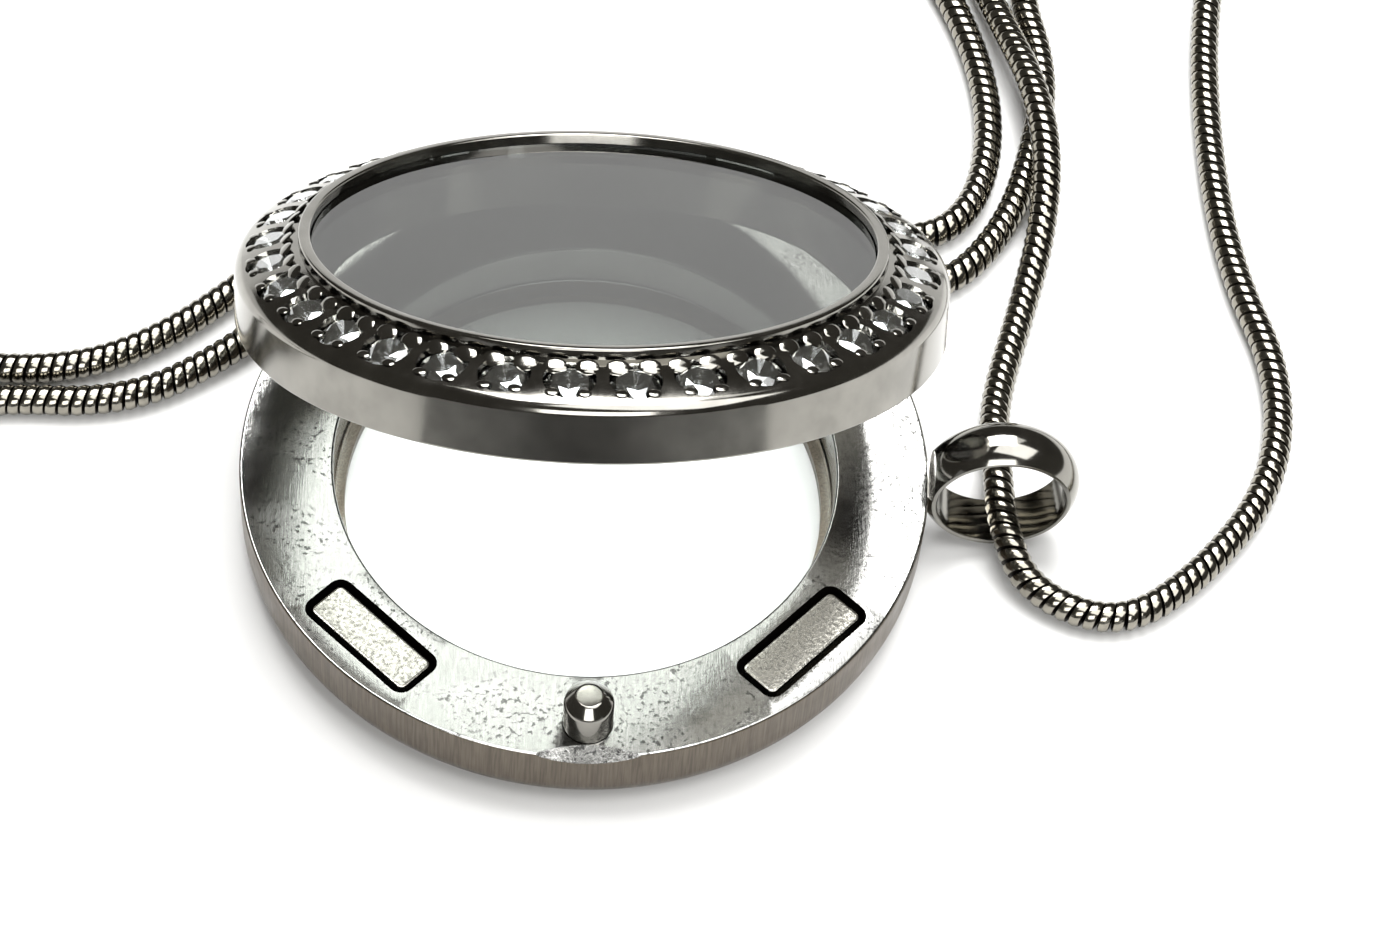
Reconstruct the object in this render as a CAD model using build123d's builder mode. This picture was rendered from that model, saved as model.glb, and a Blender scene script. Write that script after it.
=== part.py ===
from build123d import *
from math import asin, atan, cos, degrees, pi, radians, sin, tan
import os

# A round floating locket that stands open on a table, with its chain lying round it.
# Millimetres. The origin is the centre of the case's back, on the table, +Z is up,
# +Y points to the hinge and +X to the bail ring.

# Case
CASE_RADIUS = 15.0
CASE_HEIGHT = 3.7
CASE_WALL = 4.06
BACK_ROUNDING = 1.6
EDGE_BREAK = 0.12
LIP_WIDTH = 0.45
LIP_HEIGHT = 0.5
BACK_GLASS_THICKNESS = 1.0
GLASS_GAP = 0.05
SEAT_GAP = 0.04

# Thumb notch in the front edge of the case's top face
NOTCH_HALF_WIDTH = 3.0
NOTCH_DEPTH = 0.42
NOTCH_REACH = 0.65

# Bar magnets in the meeting faces of case and lid
MAGNET_LENGTH = 5.6
MAGNET_WIDTH = 1.85
CASE_MAGNET_THICKNESS = 1.4
LID_MAGNET_THICKNESS = 1.1
MAGNET_GAP = 0.3
MAGNET_RECESS = 0.05
MAGNET_CORNER = 0.3
MAGNET_BEVEL = 0.15
MAGNET_INSET = 0.1
MAGNET_AZIMUTH = 45.0

# Locating pin opposite the hinge
PIN_RADIUS = 1.05
PIN_HEIGHT = 2.1
PIN_ROOT = 1.4
PIN_CHAMFER = 0.47
PIN_OFFSET = 0.27
PIN_FIT = 0.03
SOCKET_GAP = 0.15

# Hinge
PARTING_GAP = 0.1
HINGE_OFFSET = 0.35
HINGE_PIN_RADIUS = 0.4
KNUCKLE_RADIUS = 0.95
LID_KNUCKLE_LENGTH = 2.8
CASE_KNUCKLE_LENGTH = 2.0
KNUCKLE_GAP = 0.1
PIN_RUNNING_GAP = 0.05
LEAF_THICKNESS = 0.9
LID_LEAF_HEIGHT = 2.0
LID_OPEN = 30.0

# Bail ring on the case's side
BAIL_AZIMUTH = -2.2
BAIL_RADIUS = 3.5
BAIL_EDGE_DROP = 0.47
BAIL_BAND_THICKNESS = 0.69
BAIL_WIDTH = 2.23
BAIL_SOLDER_DEPTH = 0.39
BAIL_LIFT = 0.03
LID_PASSING_GAP = 0.1

# Lid
LID_WALL_HEIGHT = 2.42
BEZEL_EDGE_ANGLE = 28.0
BEZEL_RADIUS = 8.96
SHOULDER_RADIUS = 0.6
RIM_WIDTH = 0.5
RIM_STEP = 0.45
RIM_ROUNDING = 0.14
LEDGE_WIDTH = 0.65
LID_GLASS_THICKNESS = 0.97
LID_GLASS_RECESS = 0.45

# Stones in the domed bezel
STONE_DIAMETER = 2.0
STONE_SPACING = 0.58
STONE_EDGE_DISTANCE = 1.4
BEZEL_MARGIN = 0.65
CROWN_HEIGHT = 0.28
TABLE_SHARE = 0.58
STAR_SHARE = 0.5
GIRDLE_HEIGHT = 0.06
PAVILION_DEPTH = 0.65
LOWER_GIRDLE_SHARE = 0.75
CULET_RADIUS = 0.03
GIRDLE_DROP = 0.3
STONE_GAP = 0.055
SEAT_STEP = 0.5
SEAT_FLOOR_RADIUS = 0.15
BEAD_RADIUS = 0.26
BEAD_DISTANCE = 1.2
BEAD_ANGLE = 33.0

# Chain and clasp
CHAIN_DIAMETER = 1.4
CLASP_RADIUS = 1.5
CLASP_CAP = 0.5
CLASP_BORE_GAP = 0.15
CLASP_BORE_DEPTH = 1.0
CLASP_OVERLAP = 0.9

chain_radius = CHAIN_DIAMETER / 2
rest = chain_radius

# The chain's route: its centre line from one end of the clasp to the other, x, y, z.
CHAIN_ROUTE = [
    # out of the clasp and along the upper strand
    (-85.0, 12.1, 1.5),
    (-84.8, 18.4, 1.1),
    (-81.5, 25.0, rest),
    (-74.0, 28.6, rest),
    (-64.5, 27.5, rest),
    (-55.5, 22.0, rest),
    (-47.0, 14.8, rest),
    (-38.0, 9.4, rest),
    (-29.5, 6.9, rest),
    (-23.0, 6.6, rest),
    (-18.6, 8.7, rest),
    (-14.6, 12.5, rest),
    # behind the case
    (-9.5, 16.9, rest),
    (-3.0, 19.6, rest),
    (3.8, 19.5, rest),
    (9.0, 17.6, rest),
    (12.9, 15.2, rest),
    (16.7, 15.1, rest),
    (19.0, 18.2, rest),
    (19.6, 23.8, rest),
    (18.2, 30.0, rest),
    # the large loop to the right
    (14.6, 37.2, rest),
    (11.3, 45.0, rest),
    (10.5, 54.5, rest),
    (14.0, 63.5, rest),
    (21.8, 68.0, rest),
    (30.2, 65.0, rest),
    (35.0, 57.0, rest),
    (35.2, 47.5, rest),
    (32.6, 38.5, rest),
    (30.4, 29.5, rest),
    (29.8, 21.0, rest),
    (30.2, 13.5, rest),
    (31.9, 7.5, rest),
    (31.0, 1.5, rest),
    (27.5, -3.2, rest),
    (23.4, -6.3, rest),
    (19.4, -4.6, 0.9),
    # through the bail ring
    (18.35, -1.6, 1.75),
    (18.35, 1.3, 1.75),
    (18.5, 5.4, 0.8),
    (20.1, 10.6, rest),
    # over the strand that crosses below
    (21.4, 15.0, 1.35),
    (21.9, 19.2, 2.3),
    (21.45, 23.4, 2.3),
    (20.4, 27.6, 1.5),
    (19.1, 32.6, rest),
    # the small loop inside the large one
    (17.2, 39.6, rest),
    (15.8, 46.6, rest),
    (17.4, 53.4, rest),
    (22.8, 57.4, rest),
    (28.6, 54.4, rest),
    (30.2, 47.8, rest),
    (27.2, 41.6, rest),
    (23.2, 36.6, rest),
    (21.3, 31.2, rest),
    (22.4, 25.4, rest),
    (21.5, 20.6, rest),
    (19.9, 15.9, rest),
    (17.0, 12.3, rest),
    # behind the case again, nearer to it
    (13.2, 11.9, rest),
    (9.2, 14.8, rest),
    (4.2, 17.4, rest),
    (-2.0, 18.0, rest),
    (-8.0, 15.6, rest),
    (-12.4, 11.5, rest),
    (-15.9, 7.7, rest),
    (-20.4, 4.9, rest),
    # along the lower strand and back into the clasp
    (-26.5, 5.1, rest),
    (-34.5, 3.7, rest),
    (-43.5, -1.8, rest),
    (-53.0, -6.2, rest),
    (-63.0, -7.6, rest),
    (-72.4, -8.3, rest),
    (-80.6, -6.6, rest),
    (-84.8, -1.4, 1.1),
    (-85.0, 4.9, 1.5),
]

# Values worked out from the sizes above
cavity_radius = CASE_RADIUS - CASE_WALL
wall_middle = (CASE_RADIUS + cavity_radius) / 2
magnet_circle = wall_middle - MAGNET_INSET
pin_circle = wall_middle + PIN_OFFSET
hinge_y = CASE_RADIUS + HINGE_OFFSET
hinge_z = CASE_HEIGHT + PARTING_GAP / 2
hinge_half_length = LID_KNUCKLE_LENGTH / 2 + KNUCKLE_GAP + CASE_KNUCKLE_LENGTH
relief_radius = KNUCKLE_RADIUS + KNUCKLE_GAP
leaf_back = CASE_RADIUS + LEAF_THICKNESS
knuckle_root = hinge_y - KNUCKLE_RADIUS



# Slope and height of the domed bezel at a distance from its outer edge
def bezel_slope(distance):
    return asin(sin(radians(BEZEL_EDGE_ANGLE)) - distance / BEZEL_RADIUS)


def bezel_height(distance):
    rise = cos(bezel_slope(distance)) - cos(radians(BEZEL_EDGE_ANGLE))
    return LID_WALL_HEIGHT + BEZEL_RADIUS * rise


bezel_width = STONE_DIAMETER + BEZEL_MARGIN
bezel_top = bezel_height(bezel_width)
rim_outer = CASE_RADIUS - bezel_width
rim_inner = rim_outer - RIM_WIDTH
lid_opening = rim_inner - LEDGE_WIDTH
rim_height = bezel_top + RIM_STEP
ledge_height = rim_height - LID_GLASS_RECESS - LID_GLASS_THICKNESS - SEAT_GAP

stone_radius = STONE_DIAMETER / 2
stone_circle = CASE_RADIUS - STONE_EDGE_DISTANCE
stone_height = bezel_height(STONE_EDGE_DISTANCE)
stone_tilt = degrees(bezel_slope(STONE_EDGE_DISTANCE))
stone_count = int(2 * pi * stone_circle / (STONE_DIAMETER + STONE_SPACING))
seat_radius = stone_radius + STONE_GAP
seat_depth = GIRDLE_DROP + GIRDLE_HEIGHT + PAVILION_DEPTH + STONE_GAP

# The lid's own plane, turned open about the hinge: its origin is the centre of the lid's
# underside, x runs along the hinge, y points to the hinge and z out through the lid glass.
swing = radians(LID_OPEN)
lid_plane = Plane(
    origin=(
        0,
        hinge_y - hinge_y * cos(swing) + PARTING_GAP / 2 * sin(swing),
        hinge_z + hinge_y * sin(swing) + PARTING_GAP / 2 * cos(swing),
    ),
    x_dir=(1, 0, 0),
    z_dir=(0, sin(swing), cos(swing)),
)
lid_profile_plane = Plane(lid_plane.origin, lid_plane.x_dir, -lid_plane.y_dir)
lid_side_plane = Plane(lid_plane.origin, lid_plane.y_dir, lid_plane.x_dir)
lid_axis = Axis(lid_plane.origin, lid_plane.z_dir)

os.makedirs("parts", exist_ok=True)


# One faceted frustum after another, each cut down to the last: sides, turn, and the
# distance of the flats from the axis at the low and the high level.
def faceted(low, high, tiers):
    with BuildPart() as cut:
        for number, (sides, turn, low_flats, high_flats) in enumerate(tiers):
            with BuildSketch(Plane.XY.offset(low)):
                RegularPolygon(low_flats, sides, major_radius=False, rotation=turn)
            with BuildSketch(Plane.XY.offset(high)):
                RegularPolygon(high_flats, sides, major_radius=False, rotation=turn)
            loft(mode=Mode.INTERSECT if number else Mode.ADD)
    return cut.part


# A round brilliant with its table up and the bezel's surface at z = 0
def brilliant_cut():
    half_main = radians(22.5)
    half_girdle = radians(11.25)
    girdle_top = -GIRDLE_DROP
    girdle_bottom = girdle_top - GIRDLE_HEIGHT
    table_top = girdle_top + CROWN_HEIGHT
    culet = girdle_bottom - PAVILION_DEPTH
    girdle_flats = stone_radius * cos(half_girdle)

    # crown: kites, stars and upper girdle facets meet at the star's tip
    table_radius = stone_radius * TABLE_SHARE
    table_flats = table_radius * cos(half_main)
    star_tip = table_flats + STAR_SHARE * (stone_radius - table_flats)
    crown_run = stone_radius - table_radius
    tip_rise = CROWN_HEIGHT * (stone_radius - star_tip * cos(half_main)) / crown_run
    star_slope = (star_tip - table_flats) / (CROWN_HEIGHT - tip_rise)
    upper_slope = (girdle_flats - star_tip * cos(half_girdle)) / tip_rise
    crown = faceted(girdle_top, table_top, [
        (8, 22.5, stone_radius, table_radius),
        (8, 0.0, table_flats + star_slope * CROWN_HEIGHT, table_flats),
        (16, 0.0, girdle_flats, girdle_flats - upper_slope * CROWN_HEIGHT),
    ])

    # pavilion: main facets and lower girdle facets meet near the culet
    lower_tip = stone_radius * (1 - LOWER_GIRDLE_SHARE)
    lower_rise = PAVILION_DEPTH * lower_tip * cos(half_main) / stone_radius
    lower_run = girdle_flats - lower_tip * cos(half_girdle)
    lower_slope = lower_run / (PAVILION_DEPTH - lower_rise)
    pavilion = faceted(culet, girdle_bottom, [
        (8, 22.5, CULET_RADIUS, stone_radius),
        (16, 0.0, max(girdle_flats - lower_slope * PAVILION_DEPTH, CULET_RADIUS), girdle_flats),
    ])

    with BuildPart() as stone:
        with BuildSketch(Plane.XY.offset(girdle_bottom)):
            RegularPolygon(girdle_flats, 16, major_radius=False)
        extrude(amount=GIRDLE_HEIGHT)
        add(crown)
        add(pavilion)
    return stone.part


# The plane of one stone: its origin on the bezel's dome and z square to the dome
def stone_plane(number):
    azimuth = 90 + 360 * number / stone_count
    turned = lid_plane.location * Rot(0, 0, azimuth)
    return Plane(turned * Pos(stone_circle, 0, stone_height) * Rot(0, stone_tilt, 0))


stone_planes = [stone_plane(number) for number in range(stone_count)]


# The two magnets' pockets or blocks, as rounded oblongs across the wall
def magnet_outline(width, length, corner):
    with BuildSketch() as outline:
        with PolarLocations(magnet_circle, 2, MAGNET_AZIMUTH - 180, 180 - 2 * MAGNET_AZIMUTH, endpoint=True):
            RectangleRounded(width, length, corner)
    return outline.sketch


pocket_outline = magnet_outline(
    MAGNET_WIDTH + 2 * MAGNET_GAP, MAGNET_LENGTH + 2 * MAGNET_GAP, MAGNET_CORNER + MAGNET_GAP
)
magnet_outlines = magnet_outline(MAGNET_WIDTH, MAGNET_LENGTH, MAGNET_CORNER)

# Case with its bail ring
bail_reach = CASE_RADIUS + BAIL_RADIUS - BAIL_SOLDER_DEPTH
bail_centre = Vector(bail_reach, 0, BAIL_RADIUS + BAIL_LIFT).rotate(Axis.Z, BAIL_AZIMUTH)
bail_inner = BAIL_RADIUS - BAIL_BAND_THICKNESS

with BuildPart() as bail_ring:
    with BuildSketch(Plane(bail_centre, (1, 0, 0), (0, 0, 1))):
        with BuildLine():
            dome = ThreePointArc(
                (BAIL_RADIUS - BAIL_EDGE_DROP, -BAIL_WIDTH / 2),
                (BAIL_RADIUS, 0),
                (BAIL_RADIUS - BAIL_EDGE_DROP, BAIL_WIDTH / 2),
            )
            Polyline(dome @ 1, (bail_inner, BAIL_WIDTH / 2), (bail_inner, -BAIL_WIDTH / 2), dome @ 0)
        make_face()
    revolve(axis=Axis(bail_centre, (0, 1, 0)))
    # flattened above the parting plane, where the lid's wall passes
    with BuildSketch(Plane.XY.offset(CASE_HEIGHT)):
        Rectangle(2 * (CASE_RADIUS + LID_PASSING_GAP), 2 * CASE_RADIUS)
    extrude(amount=2 * BAIL_RADIUS, mode=Mode.SUBTRACT)

notch_slope = atan(NOTCH_DEPTH / NOTCH_REACH)
notch_radius = (NOTCH_HALF_WIDTH**2 + NOTCH_DEPTH**2) / (2 * NOTCH_DEPTH)
notch_axis = Vector(0, cos(notch_slope), sin(notch_slope))
notch_up = Vector(0, -sin(notch_slope), cos(notch_slope))
notch_bottom = Vector(0, -CASE_RADIUS, CASE_HEIGHT - NOTCH_DEPTH)

with BuildPart() as back_case:
    with BuildSketch(Plane.XZ) as case_profile:
        with BuildLine():
            Polyline(
                (cavity_radius - LIP_WIDTH, 0),
                (CASE_RADIUS, 0),
                (CASE_RADIUS, CASE_HEIGHT),
                (cavity_radius, CASE_HEIGHT),
                (cavity_radius, LIP_HEIGHT),
                (cavity_radius - LIP_WIDTH, LIP_HEIGHT),
                close=True,
            )
        make_face()
        fillet(case_profile.vertices().group_by(Axis.X)[-1].sort_by(Axis.Y)[0], BACK_ROUNDING)
        chamfer(case_profile.vertices().group_by(Axis.Y)[-1], EDGE_BREAK)
    revolve(axis=Axis.Z)
    # thumb notch
    with BuildSketch(Plane(notch_bottom + notch_up * notch_radius, (1, 0, 0), notch_axis)):
        Circle(notch_radius)
    extrude(amount=2 * NOTCH_REACH, both=True, mode=Mode.SUBTRACT)
    # magnet pockets
    with BuildSketch(Plane.XY.offset(CASE_HEIGHT)):
        add(pocket_outline)
    extrude(amount=-CASE_MAGNET_THICKNESS - 2 * MAGNET_RECESS, mode=Mode.SUBTRACT)
    # the locating pin's hole
    with BuildSketch(Plane.XY.offset(CASE_HEIGHT)):
        with Locations((0, -pin_circle)):
            Circle(PIN_RADIUS + PIN_FIT)
    extrude(amount=-PIN_ROOT - PIN_FIT, mode=Mode.SUBTRACT)
    # room for the lid's knuckle
    with BuildSketch(Plane.YZ):
        with Locations((hinge_y, hinge_z)):
            Circle(relief_radius)
    extrude(amount=LID_KNUCKLE_LENGTH / 2 + KNUCKLE_GAP, both=True, mode=Mode.SUBTRACT)
    # two knuckles, each with its leaf down the wall
    for side in (-1, 1):
        with BuildSketch(Plane.YZ.offset(side * (LID_KNUCKLE_LENGTH / 2 + KNUCKLE_GAP))):
            with Locations((hinge_y, hinge_z)):
                Circle(KNUCKLE_RADIUS)
            with BuildLine():
                Polyline(
                    (knuckle_root, CASE_HEIGHT),
                    (knuckle_root, BACK_ROUNDING + EDGE_BREAK),
                    (CASE_RADIUS, BACK_ROUNDING + EDGE_BREAK),
                    (leaf_back, BACK_ROUNDING + EDGE_BREAK + LEAF_THICKNESS / 2),
                    (leaf_back, CASE_HEIGHT),
                    close=True,
                )
            make_face()
        extrude(amount=side * CASE_KNUCKLE_LENGTH)
    with BuildSketch(Plane.YZ):
        with Locations((hinge_y, hinge_z)):
            Circle(HINGE_PIN_RADIUS + PIN_FIT)
    extrude(amount=hinge_half_length, both=True, mode=Mode.SUBTRACT)
    add(bail_ring.part)
back_case.part.label = "back_case"
export_step(back_case.part, "parts/back_case.step")

# Back glass
with BuildPart() as back_glass:
    with BuildSketch(Plane.XY.offset(LIP_HEIGHT + SEAT_GAP)):
        Circle(cavity_radius - GLASS_GAP)
    extrude(amount=BACK_GLASS_THICKNESS)
back_glass.part.label = "back_glass"
export_step(back_glass.part, "parts/back_glass.step")

# Magnets in the case, their tops just below its face
case_magnet_floor = CASE_HEIGHT - MAGNET_RECESS - CASE_MAGNET_THICKNESS
for side, name in ((0, "case_magnet_left"), (1, "case_magnet_right")):
    with BuildPart() as case_magnet:
        with BuildSketch(Plane.XY.offset(case_magnet_floor)):
            add(magnet_outlines.faces().sort_by(Axis.X)[side])
        extrude(amount=CASE_MAGNET_THICKNESS)
        chamfer(case_magnet.faces().sort_by(Axis.Z)[-1].edges(), MAGNET_BEVEL)
    case_magnet.part.label = name
    export_step(case_magnet.part, f"parts/{name}.step")

# Locating pin
with BuildPart() as locating_pin:
    with BuildSketch(Plane.XY.offset(CASE_HEIGHT - PIN_ROOT)):
        with Locations((0, -pin_circle)):
            Circle(PIN_RADIUS)
    extrude(amount=PIN_ROOT + PIN_HEIGHT)
    chamfer(locating_pin.faces().sort_by(Axis.Z)[-1].edges(), PIN_CHAMFER)
locating_pin.part.label = "locating_pin"
export_step(locating_pin.part, "parts/locating_pin.step")

# Hinge pin
with BuildPart() as hinge_pin:
    with BuildSketch(Plane.YZ):
        with Locations((hinge_y, hinge_z)):
            Circle(HINGE_PIN_RADIUS)
    extrude(amount=hinge_half_length, both=True)
hinge_pin.part.label = "hinge_pin"
export_step(hinge_pin.part, "parts/hinge_pin.step")

# A stone's seat: a short bore and a cone for the pavilion
with BuildPart() as seat_tool:
    with BuildSketch(Plane.XZ):
        with BuildLine():
            Polyline(
                (0, BEAD_RADIUS),
                (seat_radius, BEAD_RADIUS),
                (seat_radius, -SEAT_STEP),
                (SEAT_FLOOR_RADIUS, -seat_depth),
                (0, -seat_depth),
                close=True,
            )
        make_face()
    revolve(axis=Axis.Z)

# Four prong beads to a stone
bead_places = [
    plane.location * Rot(0, 0, turn) * Pos(BEAD_DISTANCE, 0, 0)
    for plane in stone_planes
    for turn in (BEAD_ANGLE, 180 - BEAD_ANGLE, 180 + BEAD_ANGLE, -BEAD_ANGLE)
]

# Lid frame
socket_depth = PIN_HEIGHT - PARTING_GAP + SOCKET_GAP
socket_radius = PIN_RADIUS + SOCKET_GAP

with BuildPart() as lid_frame:
    with BuildSketch(lid_profile_plane) as lid_profile:
        with BuildLine():
            bezel_dome = ThreePointArc(
                (CASE_RADIUS, LID_WALL_HEIGHT),
                (CASE_RADIUS - bezel_width / 2, bezel_height(bezel_width / 2)),
                (rim_outer, bezel_top),
            )
            Polyline(
                bezel_dome @ 1,
                (rim_outer, rim_height),
                (rim_inner, rim_height),
                (rim_inner, ledge_height),
                (lid_opening, ledge_height),
                (lid_opening, 0),
                (CASE_RADIUS, 0),
                bezel_dome @ 0,
            )
        make_face()
        outer_corners = lid_profile.vertices().group_by(Axis.X)[-1].sort_by(Axis.Y)
        rim_corners = lid_profile.vertices().group_by(Axis.Y)[-1]
        fillet(outer_corners[-1], SHOULDER_RADIUS)
        fillet(rim_corners, RIM_ROUNDING)
        chamfer(lid_profile.vertices().group_by(Axis.X)[-1].sort_by(Axis.Y)[0], EDGE_BREAK)
    revolve(axis=lid_axis)
    # stone seats and prong beads
    with Locations(*[plane.location for plane in stone_planes]):
        add(seat_tool.part, mode=Mode.SUBTRACT)
    with Locations(*bead_places):
        Sphere(BEAD_RADIUS)
    # magnet pockets in the underside
    with BuildSketch(lid_plane):
        add(pocket_outline)
    extrude(amount=LID_MAGNET_THICKNESS + 2 * MAGNET_RECESS, mode=Mode.SUBTRACT)
    # the locating pin's socket, coned like the pin's end
    with BuildSketch(lid_plane):
        with Locations((0, -pin_circle)):
            Circle(socket_radius)
    extrude(amount=socket_depth - PIN_CHAMFER, mode=Mode.SUBTRACT)
    with BuildSketch(lid_plane.offset(socket_depth - PIN_CHAMFER)):
        with Locations((0, -pin_circle)):
            Circle(socket_radius)
    extrude(amount=PIN_CHAMFER, taper=45, mode=Mode.SUBTRACT)
    # room for the case's two knuckles
    for side in (-1, 1):
        with BuildSketch(Plane.YZ.offset(side * LID_KNUCKLE_LENGTH / 2)):
            with Locations((hinge_y, hinge_z)):
                Circle(relief_radius)
        extrude(amount=side * (CASE_KNUCKLE_LENGTH + 2 * KNUCKLE_GAP), mode=Mode.SUBTRACT)
    # the middle knuckle with its leaf up the wall
    with BuildSketch(Plane.YZ):
        with Locations((hinge_y, hinge_z)):
            Circle(KNUCKLE_RADIUS)
    extrude(amount=LID_KNUCKLE_LENGTH / 2, both=True)
    with BuildSketch(lid_side_plane):
        with BuildLine():
            Polyline(
                (knuckle_root, 0),
                (leaf_back, 0),
                (leaf_back, LID_LEAF_HEIGHT - LEAF_THICKNESS / 2),
                (CASE_RADIUS, LID_LEAF_HEIGHT),
                (knuckle_root, LID_LEAF_HEIGHT),
                close=True,
            )
        make_face()
    extrude(amount=LID_KNUCKLE_LENGTH / 2, both=True)
    with BuildSketch(Plane.YZ):
        with Locations((hinge_y, hinge_z)):
            Circle(HINGE_PIN_RADIUS + PIN_RUNNING_GAP)
    extrude(amount=hinge_half_length, both=True, mode=Mode.SUBTRACT)
lid_frame.part.label = "lid_frame"
export_step(lid_frame.part, "parts/lid_frame.step")

# Lid glass
with BuildPart() as lid_glass:
    with BuildSketch(lid_plane.offset(ledge_height + SEAT_GAP)):
        Circle(rim_inner - GLASS_GAP)
    extrude(amount=LID_GLASS_THICKNESS)
lid_glass.part.label = "lid_glass"
export_step(lid_glass.part, "parts/lid_glass.step")

# Magnets in the lid
for side, name in ((0, "lid_magnet_left"), (1, "lid_magnet_right")):
    with BuildPart() as lid_magnet:
        with BuildSketch(lid_plane.offset(MAGNET_RECESS)):
            add(magnet_outlines.faces().sort_by(Axis.X)[side])
        extrude(amount=LID_MAGNET_THICKNESS)
        chamfer(lid_magnet.faces().sort_by(lid_axis)[0].edges(), MAGNET_BEVEL)
    lid_magnet.part.label = name
    export_step(lid_magnet.part, f"parts/{name}.step")

# Stones
brilliant = brilliant_cut()
for number, plane in enumerate(stone_planes, start=1):
    with BuildPart(plane) as stone:
        add(brilliant)
    stone.part.label = f"stone_{number:02d}"
    export_step(stone.part, f"parts/stone_{number:02d}.step")


# Each arc is as large as its two runs allow: 0.45 of the shorter one
def route_radii(points):
    radii = []
    for before, corner, after in zip(points, points[1:], points[2:]):
        run_in = Vector(corner) - Vector(before)
        run_out = Vector(after) - Vector(corner)
        half_turn = radians(run_in.get_angle(run_out)) / 2
        radii.append(0.45 * min(run_in.length, run_out.length) / tan(half_turn))
    return radii


# Chain
chain_radii = route_radii(CHAIN_ROUTE)
with BuildPart() as snake_chain:
    with BuildLine() as chain_line:
        FilletPolyline(*CHAIN_ROUTE, radius=chain_radii)
    chain_path = chain_line.wires()[0]
    with BuildSketch(Plane(chain_path @ 0, z_dir=chain_path % 0)):
        Circle(chain_radius)
    sweep(path=chain_path)
snake_chain.part.label = "snake_chain"
export_step(snake_chain.part, "parts/snake_chain.step")
print("chain radii", [round(radius, 1) for radius in chain_radii])
print("chain length", round(chain_path.length, 2))
print("chain volume", round(snake_chain.part.volume, 2))
print("section times length", round(pi * chain_radius**2 * chain_path.length, 2))

# Clasp: a barrel along Y between the chain's two ends, which sit in its bores
barrel_start = Vector(CHAIN_ROUTE[-1]) + Vector(0, -CLASP_OVERLAP, 0)
barrel_end = Vector(CHAIN_ROUTE[0]) + Vector(0, CLASP_OVERLAP, 0)
barrel_length = (barrel_end - barrel_start).length
with BuildPart() as clasp:
    with BuildSketch(Plane(barrel_start, (1, 0, 0), (0, 1, 0))):
        Circle(CLASP_RADIUS)
    extrude(amount=barrel_length)
    chamfer(clasp.edges().filter_by(GeomType.CIRCLE), CLASP_CAP)
    for end, direction in ((barrel_start, 1), (barrel_end, -1)):
        with BuildSketch(Plane(end, (1, 0, 0), (0, direction, 0))):
            Circle(chain_radius + CLASP_BORE_GAP)
        extrude(amount=CLASP_BORE_DEPTH, mode=Mode.SUBTRACT)
clasp.part.label = "clasp"
export_step(clasp.part, "parts/clasp.step")

print("stones", stone_count, "pitch", round(2 * stone_circle * sin(pi / stone_count), 3))
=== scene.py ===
from math import asin, atan, ceil, cos, pi, radians, sin, tan

import bmesh
import bpy
from bpy.props import FloatProperty, FloatVectorProperty, IntProperty, PointerProperty
from bpy.types import Operator, Panel, PropertyGroup
from mathutils import Matrix, Vector


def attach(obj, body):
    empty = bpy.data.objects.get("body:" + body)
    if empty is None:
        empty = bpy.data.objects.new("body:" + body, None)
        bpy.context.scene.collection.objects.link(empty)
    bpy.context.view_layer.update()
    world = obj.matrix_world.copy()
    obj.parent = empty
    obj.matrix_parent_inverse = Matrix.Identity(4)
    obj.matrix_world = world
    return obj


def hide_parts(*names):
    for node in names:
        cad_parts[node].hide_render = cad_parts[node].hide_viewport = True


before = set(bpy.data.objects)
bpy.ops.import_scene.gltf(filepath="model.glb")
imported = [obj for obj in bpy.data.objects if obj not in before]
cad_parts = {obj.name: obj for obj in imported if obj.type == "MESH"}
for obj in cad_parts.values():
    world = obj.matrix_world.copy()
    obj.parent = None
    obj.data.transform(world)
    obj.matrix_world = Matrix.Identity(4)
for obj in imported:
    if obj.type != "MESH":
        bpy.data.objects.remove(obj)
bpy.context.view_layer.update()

bl_info = {
    "name": "Floating Locket",
    "version": (1, 0, 0),
    "blender": (4, 5, 0),
    "location": "3D View > Sidebar > Locket",
    "description": "Builds the locket's case, lid, stones and chain over its frame",
    "category": "Object",
}

# Metres, in the frame's own place: the case lies on the table at z = 0, +Y points to the hinge
# and +X to the bail ring.
MM = 0.001

# Flat faces that would lie in one plane keep this far apart, so that the cuts and welds stay clean
HAIR = 0.02 * MM

# Roundings of small edges
FINE_EDGE, SMALL_EDGE, PLAIN_EDGE = 0.05 * MM, 0.08 * MM, 0.1 * MM

# Sides of round shapes
SEAT_SIDES, PIN_SIDES, ROD_SIDES, BAIL_SIDES, RIM_SIDES, NOTCH_SIDES = 32, 64, 96, 128, 256, 720

# Each softbox: its azimuth to the right of +Y and its elevation in degrees, its distance, width and
# height in metres, and the stage's value that holds its radiance
SOFTBOXES = (
    ("Back softbox", 0, 66, 0.6, 0.39, 0.4, "back_light"),
    ("Side softbox", 31, 65, 0.6, 0.24, 0.34, "side_light"),
    ("Sparkle", 0, 52, 0.55, 0.09, 0.09, "sparkle"),
    ("Top softbox", 112, 71, 0.6, 0.42, 0.56, "top_light"),
    ("Front softbox", 180, 37, 0.7, 0.42, 0.32, "front_light"),
)

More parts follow.
